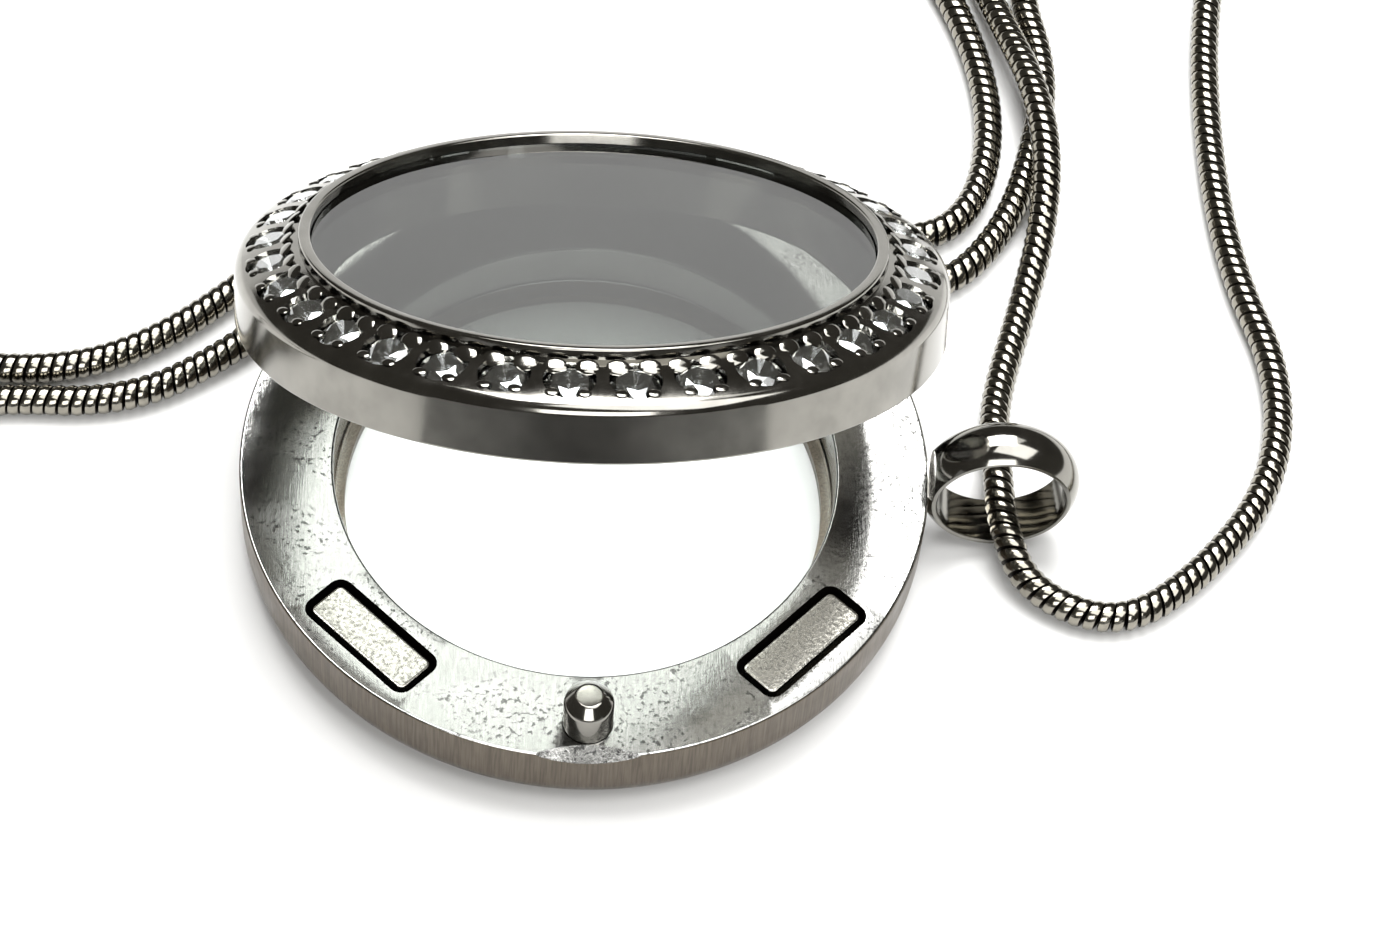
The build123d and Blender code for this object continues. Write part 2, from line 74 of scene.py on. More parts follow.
# The chain's route, from one end of the clasp to the other: control points of one smooth curve
REST = 0.7
CHAIN_ROUTE_MM = [
    (-85.0, 12.1, 1.5), (-84.8, 18.4, 1.1), (-81.5, 25.0, REST), (-74.0, 28.6, REST),
    (-64.5, 27.5, REST), (-55.5, 22.0, REST), (-47.0, 14.8, REST), (-38.0, 9.4, REST),
    (-29.5, 6.9, REST), (-23.0, 6.6, REST), (-18.6, 8.7, REST), (-14.6, 12.5, REST),
    (-9.5, 16.9, REST), (-3.0, 19.6, REST), (3.8, 19.5, REST), (9.0, 17.6, REST),
    (12.9, 15.2, REST), (16.7, 15.1, REST), (19.0, 18.2, REST), (19.6, 23.8, REST),
    (18.2, 30.0, REST), (14.6, 37.2, REST), (11.3, 45.0, REST), (10.5, 54.5, REST),
    (14.0, 63.5, REST), (21.8, 68.0, REST), (30.2, 65.0, REST), (35.0, 57.0, REST),
    (35.2, 47.5, REST), (32.6, 38.5, REST), (30.4, 29.5, REST), (29.8, 21.0, REST),
    (30.2, 13.5, REST), (31.9, 7.5, REST), (31.0, 1.5, REST), (27.5, -3.2, REST),
    (23.4, -6.3, REST), (19.4, -4.6, 0.9), (18.35, -1.6, 1.75), (18.35, 1.3, 1.75),
    (18.5, 5.4, 0.8), (20.1, 10.6, REST), (21.4, 15.0, 1.35), (21.9, 19.2, 2.3),
    (21.45, 23.4, 2.3), (20.4, 27.6, 1.5), (19.1, 32.6, REST), (17.2, 39.6, REST),
    (15.8, 46.6, REST), (17.4, 53.4, REST), (22.8, 57.4, REST), (28.6, 54.4, REST),
    (30.2, 47.8, REST), (27.2, 41.6, REST), (23.2, 36.6, REST), (21.3, 31.2, REST),
    (22.4, 25.4, REST), (21.5, 20.6, REST), (19.9, 15.9, REST), (17.0, 12.3, REST),
    (13.2, 11.9, REST), (9.2, 14.8, REST), (4.2, 17.4, REST), (-2.0, 18.0, REST),
    (-8.0, 15.6, REST), (-12.4, 11.5, REST), (-15.9, 7.7, REST), (-20.4, 4.9, REST),
    (-26.5, 5.1, REST), (-34.5, 3.7, REST), (-43.5, -1.8, REST), (-53.0, -6.2, REST),
    (-63.0, -7.6, REST), (-72.4, -8.3, REST), (-80.6, -6.6, REST), (-84.8, -1.4, 1.1),
    (-85.0, 4.9, 1.5),
]


# Sizes and colours that a user may change

def length(name, millimetres, description):
    """A length in metres, given in millimetres."""
    return FloatProperty(
        name=name, description=description, default=millimetres * MM, unit="LENGTH", precision=5
    )


def angle(name, turn, description):
    """An angle in radians, given in degrees."""
    return FloatProperty(name=name, description=description, default=radians(turn), unit="ROTATION")


def amount(name, value, description):
    """A plain number, such as a share or a radiance."""
    return FloatProperty(name=name, description=description, default=value)


def linear(code):
    """Turn an sRGB hex colour to linear red, green and blue."""
    values = [int(code[place:place + 2], 16) / 255 for place in (1, 3, 5)]
    return tuple(v / 12.92 if v <= 0.04045 else ((v + 0.055) / 1.055) ** 2.4 for v in values)


def colour(name, code, description):
    """A colour, given as an sRGB hex value."""
    return FloatVectorProperty(
        name=name, description=description, default=linear(code), subtype="COLOR", min=0.0, max=1.0
    )


class LocketCaseSizes(PropertyGroup):
    radius: length("Radius", 15.0, "Outer radius of case and lid")
    height: length("Height", 3.7, "Height of the case's meeting face")
    cavity: length("Cavity radius", 10.94, "Inner radius of the case's wall")
    lip_width: length("Lip width", 0.45, "How far the lip under the back glass reaches in")
    lip_height: length("Lip height", 0.5, "Height of the lip under the back glass")
    back_rounding: length("Back rounding", 1.6, "Rounding between back and side")
    edge_break: length("Edge rounding", 0.12, "Small rounding of the meeting face's edges")
    notch_half_width: length("Notch half width", 3.0, "Half width of the thumb notch")
    notch_depth: length("Notch depth", 0.42, "Depth of the thumb notch at the side")
    notch_reach: length("Notch reach", 0.65, "How far the thumb notch reaches in")
    bail_azimuth: angle("Bail azimuth", -2.2, "Where the bail ring is soldered on, from +X")
    bail_radius: length("Bail radius", 3.5, "Outer radius of the bail ring")
    bail_band: length("Bail band", 0.69, "Thickness of the bail ring's domed band")
    bail_drop: length("Bail edge drop", 0.47, "How much lower the dome is at the band's edges")
    bail_width: length("Bail width", 2.23, "Width of the bail ring's band")
    bail_solder: length("Solder depth", 0.39, "How far the bail ring reaches into the side")
    bail_lift: length("Bail lift", 0.03, "Height of the bail ring above the table")
    lid_passing: length("Lid passing gap", 0.1, "Space between the closing lid and the bail ring")


class LocketHingeSizes(PropertyGroup):
    offset: length("Offset", 0.35, "Distance of the hinge's axis outside the wall")
    parting: length("Parting gap", 0.1, "Gap between the closed lid and the case")
    pin_radius: length("Pin radius", 0.4, "Radius of the hinge pin")
    pin_fit: length("Pin fit", 0.03, "Space round the hinge pin")
    knuckle_radius: length("Knuckle radius", 0.95, "Radius of the three knuckles")
    lid_knuckle: length("Lid knuckle", 2.8, "Length of the lid's middle knuckle")
    case_knuckle: length("Case knuckle", 2.0, "Length of each of the case's knuckles")
    gap: length("Knuckle gap", 0.1, "Gap between and round the knuckles")
    leaf: length("Leaf", 0.9, "How far the leaves stand out from the wall")
    lid_leaf_height: length("Lid leaf height", 2.0, "Height of the leaf on the lid's wall")
    opening: angle("Opening", 30.0, "How far the lid stands open")


class LocketMagnetSizes(PropertyGroup):
    circle: length("Circle", 12.87, "Distance of the magnets from the locket's axis")
    spread: angle("Spread", 45.0, "Angle of each magnet from the front")
    size: length("Length", 5.6, "Length of each bar magnet")
    width: length("Width", 1.85, "Width of each bar magnet")
    case_thickness: length("Case thickness", 1.4, "Thickness of the case's magnets")
    lid_thickness: length("Lid thickness", 1.1, "Thickness of the lid's magnets")
    gap: length("Gap", 0.3, "Gap round each magnet in its pocket")
    recess: length("Recess", 0.05, "How far each magnet lies below the meeting face")
    corner: length("Corner", 0.3, "Rounding of each magnet's corners")
    bevel: length("Bevel", 0.15, "Bevel round each magnet's visible face")


class LocketPinSizes(PropertyGroup):
    circle: length("Circle", 13.24, "Distance of the locating pin from the locket's axis")
    radius: length("Radius", 1.05, "Radius of the locating pin")
    height: length("Height", 2.1, "Height of the pin above the meeting face")
    root: length("Root", 1.4, "Depth of the pin in the case")
    chamfer: length("Chamfer", 0.47, "Chamfer at the pin's end")
    socket_gap: length("Socket gap", 0.15, "Space round the pin in the lid's socket")


class LocketLidSizes(PropertyGroup):
    wall_height: length("Wall height", 2.42, "Height of the lid's straight wall")
    bezel_edge_angle: angle("Bezel edge angle", 28.0, "Slope of the bezel at its outer edge")
    bezel_radius: length("Bezel radius", 8.96, "Radius of the bezel's dome")
    bezel_width: length("Bezel width", 2.65, "Width of the bezel, seen from above")
    shoulder: length("Shoulder", 0.6, "Radius of the rounding between wall and bezel")
    rim_step: length("Rim step", 0.45, "Height of the rim above the bezel's inner edge")
    rim_width: length("Rim width", 0.5, "Width of the raised rim round the glass")
    rim_rounding: length("Rim rounding", 0.09, "Rounding of the rim")
    ledge_width: length("Ledge width", 0.65, "Width of the ledge under the glass")
    glass_recess: length("Glass recess", 0.45, "Depth of the glass below the rim")
    glass_thickness: length("Glass thickness", 0.97, "Thickness of the lid's glass")
    glass_seat: length("Glass seat", 0.04, "Gap between each glass and its ledge")


class LocketStoneSizes(PropertyGroup):
    count: IntProperty(name="Count", description="Number of stones in the bezel", default=33)
    edge_distance: length("Edge distance", 1.4, "Distance of the stones' centres from the edge")
    seat_radius: length("Seat radius", 1.055, "Radius of a stone's seat")
    seat_step: length("Seat step", 0.5, "Depth of the seat's straight bore")
    seat_depth: length("Seat depth", 1.065, "Depth of the seat at its middle")
    seat_floor: length("Seat floor", 0.15, "Radius of the seat's flat floor")
    prong_length: length("Prong length", 0.48, "Half the length of a prong's tip, along the bezel")
    prong_width: length("Prong width", 0.36, "Half the width of a prong's tip")
    prong_height: length("Prong height", 0.07, "Half the height of a prong's tip")
    prong_distance: length("Prong distance", 0.98, "Distance of the prongs from the stone's axis")
    prong_angle: angle("Prong angle", 40.0, "Angle of the prongs round the stone")
    prong_lean: angle("Prong lean", 22.0, "How far the inner prongs' tips lean over the stone")
    prong_outer: amount("Outer prongs", 0.6, "Size of the outer prongs against the inner ones")


class LocketChainSizes(PropertyGroup):
    radius: length("Radius", 0.7, "Radius of the chain")
    pitch: length("Pitch", 0.56, "Distance from one ring to the next")
    band: length("Band", 0.44, "Width of a ring's bright band")
    crown: length("Crown", 0.06, "How far a ring's band bulges")
    groove: length("Groove", 0.16, "Depth of the groove between two rings")
    slant: amount("Slant", 0.36, "How far the rings lean")
    sides: IntProperty(name="Sides", description="Number of faces round a ring", default=16)
    clasp_radius: length("Clasp radius", 1.5, "Radius of the clasp's barrel")
    clasp_cap: length("Clasp cap", 0.5, "Chamfer at the ends of the clasp's barrel")
    clasp_groove: length("Clasp groove", 0.12, "Depth of the groove round the clasp's middle")
    clasp_overlap: length("Clasp overlap", 0.9, "How deep each end of the chain sits in the clasp")
    bore_gap: length("Bore gap", 0.15, "Space round the chain's ends in the clasp")
    bore_depth: length("Bore depth", 1.0, "Depth of the clasp's bores")


class LocketStageSizes(PropertyGroup):
    camera_place: FloatVectorProperty(
        name="Camera place", description="Where the camera stands", unit="LENGTH", precision=5,
        default=(-0.005762, -0.100003, 0.146068),
    )
    camera_yaw: angle("Camera yaw", 5.92, "Turn of the camera from +Y towards +X")
    camera_pitch: angle("Camera pitch", 54.90, "How far the camera looks down")
    camera_roll: angle("Camera roll", 5.74, "Roll of the camera")
    camera_lens: amount("Camera lens", 104.27, "Focal length on a 36 mm frame")
    floor: length("Floor", 260.0, "Half the side of the floor")
    floor_near: length("Near floor", 36.0, "How far behind the locket the floor starts to deepen")
    floor_far: length("Far floor", 60.0, "From how far behind the locket it is deeper in tone")
    back_light: amount("Back light", 11.0, "Radiance of the large softbox behind")
    side_light: amount("Side light", 2.1, "Radiance of the softbox behind to the right")
    top_light: amount("Top light", 4.2, "Radiance of the softbox above, to the right")
    front_light: amount("Front light", 6.5, "Radiance of the softbox in front")
    sparkle: amount("Sparkle", 20.0, "Radiance of the small lamp before the large softbox")
    card_distance: length("Card distance", 100.0, "Distance of the grey card in front")
    card_height: length("Card height", 35.0, "Height of the grey card in front")
    card_spread: angle("Card spread", 48.0, "How far the grey card reaches to each side")


class LocketColours(PropertyGroup):
    tip: angle("Tip", 6.5, "How far the case's face seems tipped to +X in what it mirrors")
    polished: colour("Polished steel", "#8E8C86", "Lid, bail ring and locating pin")
    satin: colour("Satin steel", "#B2B2AF", "Meeting face of the case")
    # painted shade: the side's tone is darker and warmer than the meeting face's steel
    side: colour("Brushed side", "#665E54", "Side and back of the case")
    nickel: colour("Nickel", "#B4B2AA", "Bar magnets")
    chain: colour("Chain steel", "#8E8A80", "Rings of the chain")
    # painted shade: the dark tone of the grooves, pockets and bores
    groove: colour("Groove", "#2E2A24", "Between the rings and in the pockets and bores")
    lid_glass: colour("Lid glass", "#696C69", "Grey glass of the lid")
    back_glass: colour("Back glass", "#F7FAF9", "Clear glass of the case")
    stone: colour("Stone", "#F2F4F4", "Cut glass stones")
    floor: colour("Floor", "#DADAD9", "Floor of the stage")
    card: colour("Grey card", "#595959", "Card in front that polished metal mirrors")
    gloom: colour("Dark surroundings", "#55534E", "What polished metal mirrors of the room")
    backdrop: colour("Backdrop", "#FFFFFF", "What the camera sees behind the floor")


# Making and finishing pieces

def linked(name, data):
    """Put data in the scene as an object at the origin."""
    made = bpy.data.objects.new(name, data)
    bpy.context.scene.collection.objects.link(made)
    return made


def evaluated(made):
    """The mesh of an object once its curve settings or modifiers are applied."""
    depsgraph = bpy.context.evaluated_depsgraph_get()
    return bpy.data.meshes.new_from_object(made.evaluated_get(depsgraph))


def new_object(name, bm, finishes=()):
    """Put a bmesh in the scene as an object at the origin, with its finishes."""
    mesh = bpy.data.meshes.new(name)
    for material in finishes:
        mesh.materials.append(material)
    bm.to_mesh(mesh)
    bm.free()
    return linked(name, mesh)


def turned(corners, sides=RIM_SIDES):
    """Turn a closed outline about Z. Each corner is its radius, its height and its rounding."""
    bm = bmesh.new()
    outline = [bm.verts.new((radius, 0.0, height)) for radius, height, rounding in corners]
    bm.faces.new(outline)
    for corner, (radius, height, rounding) in zip(outline, corners):
        if rounding:
            # large roundings get more segments
            bmesh.ops.bevel(
                bm, geom=[corner], offset=rounding, offset_type="OFFSET", affect="VERTICES",
                segments=min(12, 3 + ceil(rounding / (0.25 * MM))), profile=0.5, material=-1,
            )
    bmesh.ops.delete(bm, geom=bm.faces[:], context="FACES_ONLY")
    bmesh.ops.spin(
        bm, geom=bm.verts[:] + bm.edges[:], cent=(0, 0, 0), axis=(0, 0, 1), dvec=(0, 0, 0),
        angle=2 * pi, steps=sides, use_merge=True, use_duplicate=False,
    )
    bmesh.ops.remove_doubles(bm, verts=bm.verts[:], dist=0.1 * MM * MM)
    loose = [edge for edge in bm.edges if not edge.link_faces]
    bmesh.ops.delete(bm, geom=loose, context="EDGES")
    bmesh.ops.recalc_face_normals(bm, faces=bm.faces[:])
    return bm


def rod(radius, depth, sides=ROD_SIDES):
    """A plain round rod along Z, its middle at the origin."""
    bm = bmesh.new()
    bmesh.ops.create_cone(
        bm, cap_ends=True, cap_tris=False, segments=sides, radius1=radius, radius2=radius, depth=depth
    )
    return bm


def bevelled(bm, edges, offset, segments):
    """Round edges off."""
    bmesh.ops.bevel(
        bm, geom=edges, offset=offset, offset_type="OFFSET", affect="EDGES", segments=segments,
        profile=0.5, material=-1,
    )


def bar(width, size, height, corner, bevel_at=0, bevel=0.0):
    """A bar along Y on z = 0 with round corners, and a bevel round its top (1) or bottom (-1)."""
    bm = bmesh.new()
    bmesh.ops.create_cube(bm, size=1.0)
    bmesh.ops.scale(bm, vec=(width, size, height), verts=bm.verts[:])
    bmesh.ops.translate(bm, vec=(0, 0, height / 2), verts=bm.verts[:])
    uprights = [e for e in bm.edges if abs(e.verts[0].co.z - e.verts[1].co.z) > height / 2]
    bevelled(bm, uprights, corner, 5)
    if bevel_at:
        level = height if bevel_at > 0 else 0.0
        around = [e for e in bm.edges if all(abs(v.co.z - level) < HAIR / 2 for v in e.verts)]
        bevelled(bm, around, bevel, 2)
    return bm


def placed(bm, *matrices):
    """Copies of a mesh, one for each matrix."""
    mesh = bpy.data.meshes.new("copy")
    bm.to_mesh(mesh)
    bm.free()
    copies = bmesh.new()
    for matrix in matrices:
        start = len(copies.verts)
        copies.from_mesh(mesh)
        copies.verts.ensure_lookup_table()
        bmesh.ops.transform(copies, matrix=matrix, verts=copies.verts[start:])
    bpy.data.meshes.remove(mesh)
    return copies


def worked(piece, tools):
    """Cut tools out of a piece or weld them to it, one after the other."""
    for operation, bm, material in tools:
        for face in bm.faces:
            face.material_index = material
        tool = new_object("tool", bm, piece.data.materials[:])
        modifier = piece.modifiers.new("tool", "BOOLEAN")
        modifier.operation = operation
        modifier.solver = "EXACT"
        modifier.object = tool
        mesh = evaluated(piece)
        if len(mesh.polygons) < len(piece.data.polygons) / 2:
            raise RuntimeError("a cut or weld has lost most of " + piece.name)
        plain, used = piece.data, tool.data
        piece.modifiers.clear()
        piece.data = mesh
        bpy.data.objects.remove(tool)
        bpy.data.meshes.remove(plain)
        bpy.data.meshes.remove(used)
        mesh.name = piece.name


def finished(piece, body, nodes=(), sharp=30.0):
    """Shade a piece smoothly, keep its flats flat, and say which body it rides on."""
    if not piece.data.polygons:
        raise RuntimeError(piece.name + " has no faces")
    piece.data.shade_smooth()
    piece.data.set_sharp_from_angle(angle=radians(sharp))
    flats = piece.modifiers.new("Flats", "WEIGHTED_NORMAL")
    flats.keep_sharp = True
    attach(piece, body)
    if nodes:
        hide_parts(*nodes)


def lid_place(scene):
    """Where the open lid is: from the middle of its underside to the locket's own place."""
    case, hinge = scene.locket_case, scene.locket_hinge
    axis = Vector((0.0, case.radius + hinge.offset, case.height + hinge.parting / 2))
    turn = Matrix.Rotation(-hinge.opening, 4, "X")
    rest = Vector((0.0, 0.0, case.height + hinge.parting))
    return Matrix.Translation(axis) @ turn @ Matrix.Translation(rest - axis)


def bezel(lid, distance):
    """Slope and height of the domed bezel at a distance from its outer edge."""
    slope = asin(sin(lid.bezel_edge_angle) - distance / lid.bezel_radius)
    rise = cos(slope) - cos(lid.bezel_edge_angle)
    return slope, lid.wall_height + lid.bezel_radius * rise


def stone_places(scene):
    """Each stone's place in the lid: its origin on the dome, z square to the dome."""
    case, lid, stone = scene.locket_case, scene.locket_lid, scene.locket_stones
    slope, height = bezel(lid, stone.edge_distance)
    reach = Vector((case.radius - stone.edge_distance, 0.0, height))
    seated = Matrix.Translation(reach) @ Matrix.Rotation(slope, 4, "Y")
    turns = [pi / 2 + 2 * pi * number / stone.count for number in range(stone.count)]
    return [Matrix.Rotation(turn, 4, "Z") @ seated for turn in turns]


def magnet_places(scene):
    """Places of the left and the right magnet, on z = 0."""
    magnet = scene.locket_magnets
    reach = Matrix.Translation((magnet.circle, 0.0, 0.0))
    front = -pi / 2
    return [Matrix.Rotation(front + side * magnet.spread, 4, "Z") @ reach for side in (-1, 1)]


def magnet_pockets(scene, thickness, level):
    """Tools for two magnets' pockets, which reach equally far below and above a face's level."""
    magnet = scene.locket_magnets
    depth = thickness + 2 * magnet.recess
    pocket = bar(
        magnet.width + 2 * magnet.gap, magnet.size + 2 * magnet.gap, 2 * depth,
        magnet.corner + magnet.gap,
    )
    sunk = Matrix.Translation((0, 0, level - depth))
    return placed(pocket, *[place @ sunk for place in magnet_places(scene)])


def knuckle_middle(hinge):
    """How far the middle of each of the case's knuckles is to the side."""
    return hinge.lid_knuckle / 2 + hinge.gap + hinge.case_knuckle / 2


def hinge_rod(scene, radius, size, level, middle=0.0):
    """A rod on the hinge's axis, which lies at a level."""
    reach = scene.locket_case.radius + scene.locket_hinge.offset
    along_x = Matrix.Rotation(pi / 2, 4, "Y")
    return placed(rod(radius, size), Matrix.Translation((middle, reach, level)) @ along_x)


def hinge_leaf(scene, free, foot, size, middle=0.0):
    """A leaf on the wall, from its free end at the parting to its slanted foot."""
    case, hinge = scene.locket_case, scene.locket_hinge
    root, back = case.radius + hinge.offset - hinge.knuckle_radius, case.radius + hinge.leaf
    slanted = foot + (hinge.leaf / 2 if free > foot else -hinge.leaf / 2)
    outline = [(root, free), (root, foot), (case.radius, foot), (back, slanted), (back, free)]
    bm = bmesh.new()
    bm.faces.new([bm.verts.new((middle - size / 2, y, z)) for y, z in outline])
    grown = bmesh.ops.extrude_face_region(bm, geom=bm.faces[:], use_keep_orig=True)["geom"]
    moved = [part for part in grown if isinstance(part, bmesh.types.BMVert)]
    bmesh.ops.translate(bm, vec=(size, 0, 0), verts=moved)
    bmesh.ops.recalc_face_normals(bm, faces=bm.faces[:])
    return bm


# Finishes: each function fills a material's tree and returns its shader

def add_node(tree, kind, settings=None, inputs=None):
    """Add a node, set its properties, and set or link its inputs."""
    node = tree.nodes.new(kind)
    for name, value in (settings or {}).items():
        setattr(node, name, value)
    for name, value in (inputs or {}).items():
        if isinstance(value, bpy.types.NodeSocket):
            tree.links.new(value, node.inputs[name])
        else:
            node.inputs[name].default_value = value
    return node


def shade(values, share=1.0):
    """A colour made darker or lighter by a share, with full alpha."""
    return tuple(min(1.0, value * share) for value in values[:3]) + (1.0,)


def grain(tree, place, size_mm, detail=3.0, stretch=(1.0, 1.0, 1.0), lift=0.0):
    """Noise whose grains are about size_mm wide, and longer where the stretch is below 1."""
    mapped = add_node(tree, "ShaderNodeMapping", inputs={
        "Vector": place, "Scale": stretch, "Location": (lift, lift, lift),
    })
    noise = add_node(tree, "ShaderNodeTexNoise", inputs={
        "Vector": mapped.outputs["Vector"], "Scale": 1.0 / (size_mm * MM), "Detail": detail,
        "Roughness": 0.55,
    })
    return noise.outputs["Fac"]


def tones(tree, pattern, low, high, first, second, most=1.0):
    """Two tones: the first where the pattern is low, and most of the second where it is high."""
    share = add_node(tree, "ShaderNodeMapRange", inputs={
        "Value": pattern, "From Min": low, "From Max": high, "To Max": most,
    })
    blend = add_node(tree, "ShaderNodeMix", settings={"data_type": "RGBA"}, inputs={
        0: share.outputs["Result"], 6: first, 7: second,
    })
    return blend.outputs[2]


def metal(tree, tone, pattern, high, smooth, rough, relief=None):
    """Bare metal of a tone, smooth where the pattern is low and rough where it is high."""
    roughness = add_node(tree, "ShaderNodeMapRange", inputs={
        "Value": pattern, "From Min": 0.3, "From Max": high, "To Min": smooth, "To Max": rough,
    })
    inputs = {"Base Color": tone, "Metallic": 1.0, "Roughness": roughness.outputs["Result"]}
    if relief:
        inputs["Normal"] = relief.outputs["Normal"]
    return add_node(tree, "ShaderNodeBsdfPrincipled", inputs=inputs)


def tipped(tree, place, turn):
    """A normal that leans to +X by a small turn, all over the piece."""
    across = add_node(tree, "ShaderNodeSeparateXYZ", inputs={"Vector": place}).outputs["X"]
    height = add_node(tree, "ShaderNodeMath", settings={"operation": "MULTIPLY"}, inputs={
        0: across, 1: -tan(turn),
    }).outputs["Value"]
    return add_node(tree, "ShaderNodeBump", inputs={
        "Strength": 1.0, "Distance": 1.0, "Height": height,
    }).outputs["Normal"]


def polished_steel(tree, place, colours):
    # Stainless steel, turned and buffed: a near mirror, with faint smears and hairlines from wear.
    smear = grain(tree, place, 1.6)
    hairlines = add_node(tree, "ShaderNodeBump", inputs={
        "Strength": 0.05, "Distance": 0.01 * MM,
        "Height": grain(tree, place, 0.05, 2.0, (1.0, 1.0, 0.15)),
    })
    dull, bright = shade(colours.polished, 0.8), shade(colours.polished, 1.05)
    return metal(tree, tones(tree, smear, 0.35, 0.7, dull, bright), smear, 0.75, 0.07, 0.18, hairlines)


def satin_steel(tree, place, colours):
    # Stainless steel, ground flat and left satin: bright, streaked along Y by the grinding belt,
    # with small dents. The small dark flecks on the dents are painted shade, where the dented face
    # turns from the lamps. The flecks are drawn coarser than real ones.
    # The face mirrors as if it were tipped, the way a case does that lies on its bail ring.
    streak = grain(tree, place, 0.07, 3.0, (1.0, 0.08, 1.0))
    dent_and_shade = grain(tree, place, 0.22)
    patch = grain(tree, place, 2.5, 2.0, lift=0.03)
    worn = tones(tree, streak, 0.35, 0.65, shade(colours.satin, 0.86), shade(colours.satin, 1.05))
    # dark flecks on the dents: painted shade, not a colour that the steel has
    shade_flecked = tones(tree, dent_and_shade, 0.56, 0.63, worn, shade(colours.satin, 0.22))
    dents = add_node(tree, "ShaderNodeBump", inputs={
        "Strength": 0.5, "Distance": 0.01 * MM, "Height": dent_and_shade,
        "Normal": tipped(tree, place, colours.tip),
    })
    streaks = add_node(tree, "ShaderNodeBump", inputs={
        "Strength": 0.3, "Distance": 0.01 * MM, "Height": streak, "Normal": dents.outputs["Normal"],
    })
    tone = tones(tree, patch, 0.4, 0.56, worn, shade_flecked, most=0.9)
    return metal(tree, tone, patch, 0.7, 0.1, 0.2, streaks)


def brushed_side_painted_dark(tree, place, colours):
    # Stainless steel, brushed across the case's side: dull, with fine upright lines. Its tone is
    # painted darker and warmer than the meeting face's steel, as painted shade on the side.
    # The lines are drawn about three times as coarse as real ones, so that they show.
    line = grain(tree, place, 0.09, 2.0, (1.0, 1.0, 0.04))
    lines = add_node(tree, "ShaderNodeBump", inputs={
        "Strength": 0.25, "Distance": 0.01 * MM, "Height": line,
    })
    tone = tones(tree, line, 0.35, 0.68, shade(colours.side, 0.8), shade(colours.side, 1.25))
    return metal(tree, tone, grain(tree, place, 1.2), 0.7, 0.3, 0.42, lines)


def nickel_plate(tree, place, colours):
    # Nickel over pressed magnet: rough satin, pitted with small dark and bright spots.
    pit = grain(tree, place, 0.16, 4.0)
    pits = add_node(tree, "ShaderNodeBump", inputs={
        "Strength": 0.5, "Distance": 0.02 * MM, "Height": pit,
        "Normal": tipped(tree, place, colours.tip),
    })
    tone = tones(tree, pit, 0.42, 0.62, shade(colours.nickel, 1.1), shade(colours.nickel, 0.45))
    return metal(tree, tone, pit, 0.7, 0.16, 0.3, pits)


def chain_steel(tree, place, colours):
    # Stainless steel, drawn and tumbled: each ring mirrors the lamps as one short dash.
    wear = grain(tree, place, 0.5)
    tone = tones(tree, wear, 0.35, 0.7, shade(colours.chain, 0.85), shade(colours.chain, 1.05))
    return metal(tree, tone, wear, 0.75, 0.1, 0.2)


def painted_shade_steel(tree, place, colours):
    # Dull, dark brown steel in grooves, pockets and bores: painted shade for the hollows, where
    # little light reaches.
    cloud = grain(tree, place, 0.3)
    tone = tones(tree, cloud, 0.3, 0.7, shade(colours.groove, 0.7), shade(colours.groove, 1.3))
    return add_node(tree, "ShaderNodeBsdfPrincipled", inputs={
        "Base Color": tone, "Metallic": 1.0, "Roughness": 0.4,
    })


def pane(tree, place, tint, haze):
    """Sheet glass with a faint film of dust, which lets lamps shine through to what lies below."""
    film = add_node(tree, "ShaderNodeMapRange", inputs={
        "Value": grain(tree, place, 3.0), "From Min": 0.3, "From Max": 0.75, "To Max": haze,
    })
    glass = add_node(tree, "ShaderNodeBsdfPrincipled", inputs={
        "Base Color": shade(tint), "IOR": 1.5, "Transmission Weight": 1.0,
        "Roughness": film.outputs["Result"],
    })
    clear = add_node(tree, "ShaderNodeBsdfTransparent", inputs={"Color": (0.9, 0.9, 0.9, 1.0)})
    path = add_node(tree, "ShaderNodeLightPath")
    return add_node(tree, "ShaderNodeMixShader", inputs={
        0: path.outputs["Is Shadow Ray"], 1: glass.outputs["BSDF"], 2: clear.outputs["BSDF"],
    })


def grey_glass(tree, place, colours):
    # Sheet glass, grey and slightly hazy: dims what is seen through it, mirrors the bright floor.
    return pane(tree, place, colours.lid_glass, 0.02)


def clear_glass(tree, place, colours):
    # Clear sheet glass: barely seen, but for its edge and a faint shine.
    return pane(tree, place, colours.back_glass, 0.01)


def cut_crystal(tree, place, colours):
    # Cut glass with a thin mirror coat: sharp facets that flash where they face a lamp.
    speck = grain(tree, place, 0.4, 2.0)
    return add_node(tree, "ShaderNodeBsdfPrincipled", inputs={
        "Base Color": tones(tree, speck, 0.35, 0.65, shade(colours.stone, 0.94), shade(colours.stone)),
        "IOR": 1.56, "Metallic": 0.5, "Transmission Weight": 1.0, "Roughness": 0.09,
    })


def pale_floor(tree, place, colours):
    # Matt card: even and pale, with a grain too soft to catch the eye. Behind the picture it is
    # a little deeper in tone, which keeps the lid's glass, where it is mirrored, a calm grey.
    stage = bpy.context.scene.locket_stage
    fibre = grain(tree, place, 0.8)
    even = tones(tree, fibre, 0.3, 0.7, shade(colours.floor, 0.99), shade(colours.floor))
    back = add_node(tree, "ShaderNodeSeparateXYZ", inputs={"Vector": place}).outputs["Y"]
    deeper = shade(colours.floor, 0.68)
    return add_node(tree, "ShaderNodeBsdfPrincipled", inputs={
        "Base Color": tones(tree, back, stage.floor_near, stage.floor_far, even, deeper),
        "Roughness": 0.9, "Specular IOR Level": 0.1,
    })


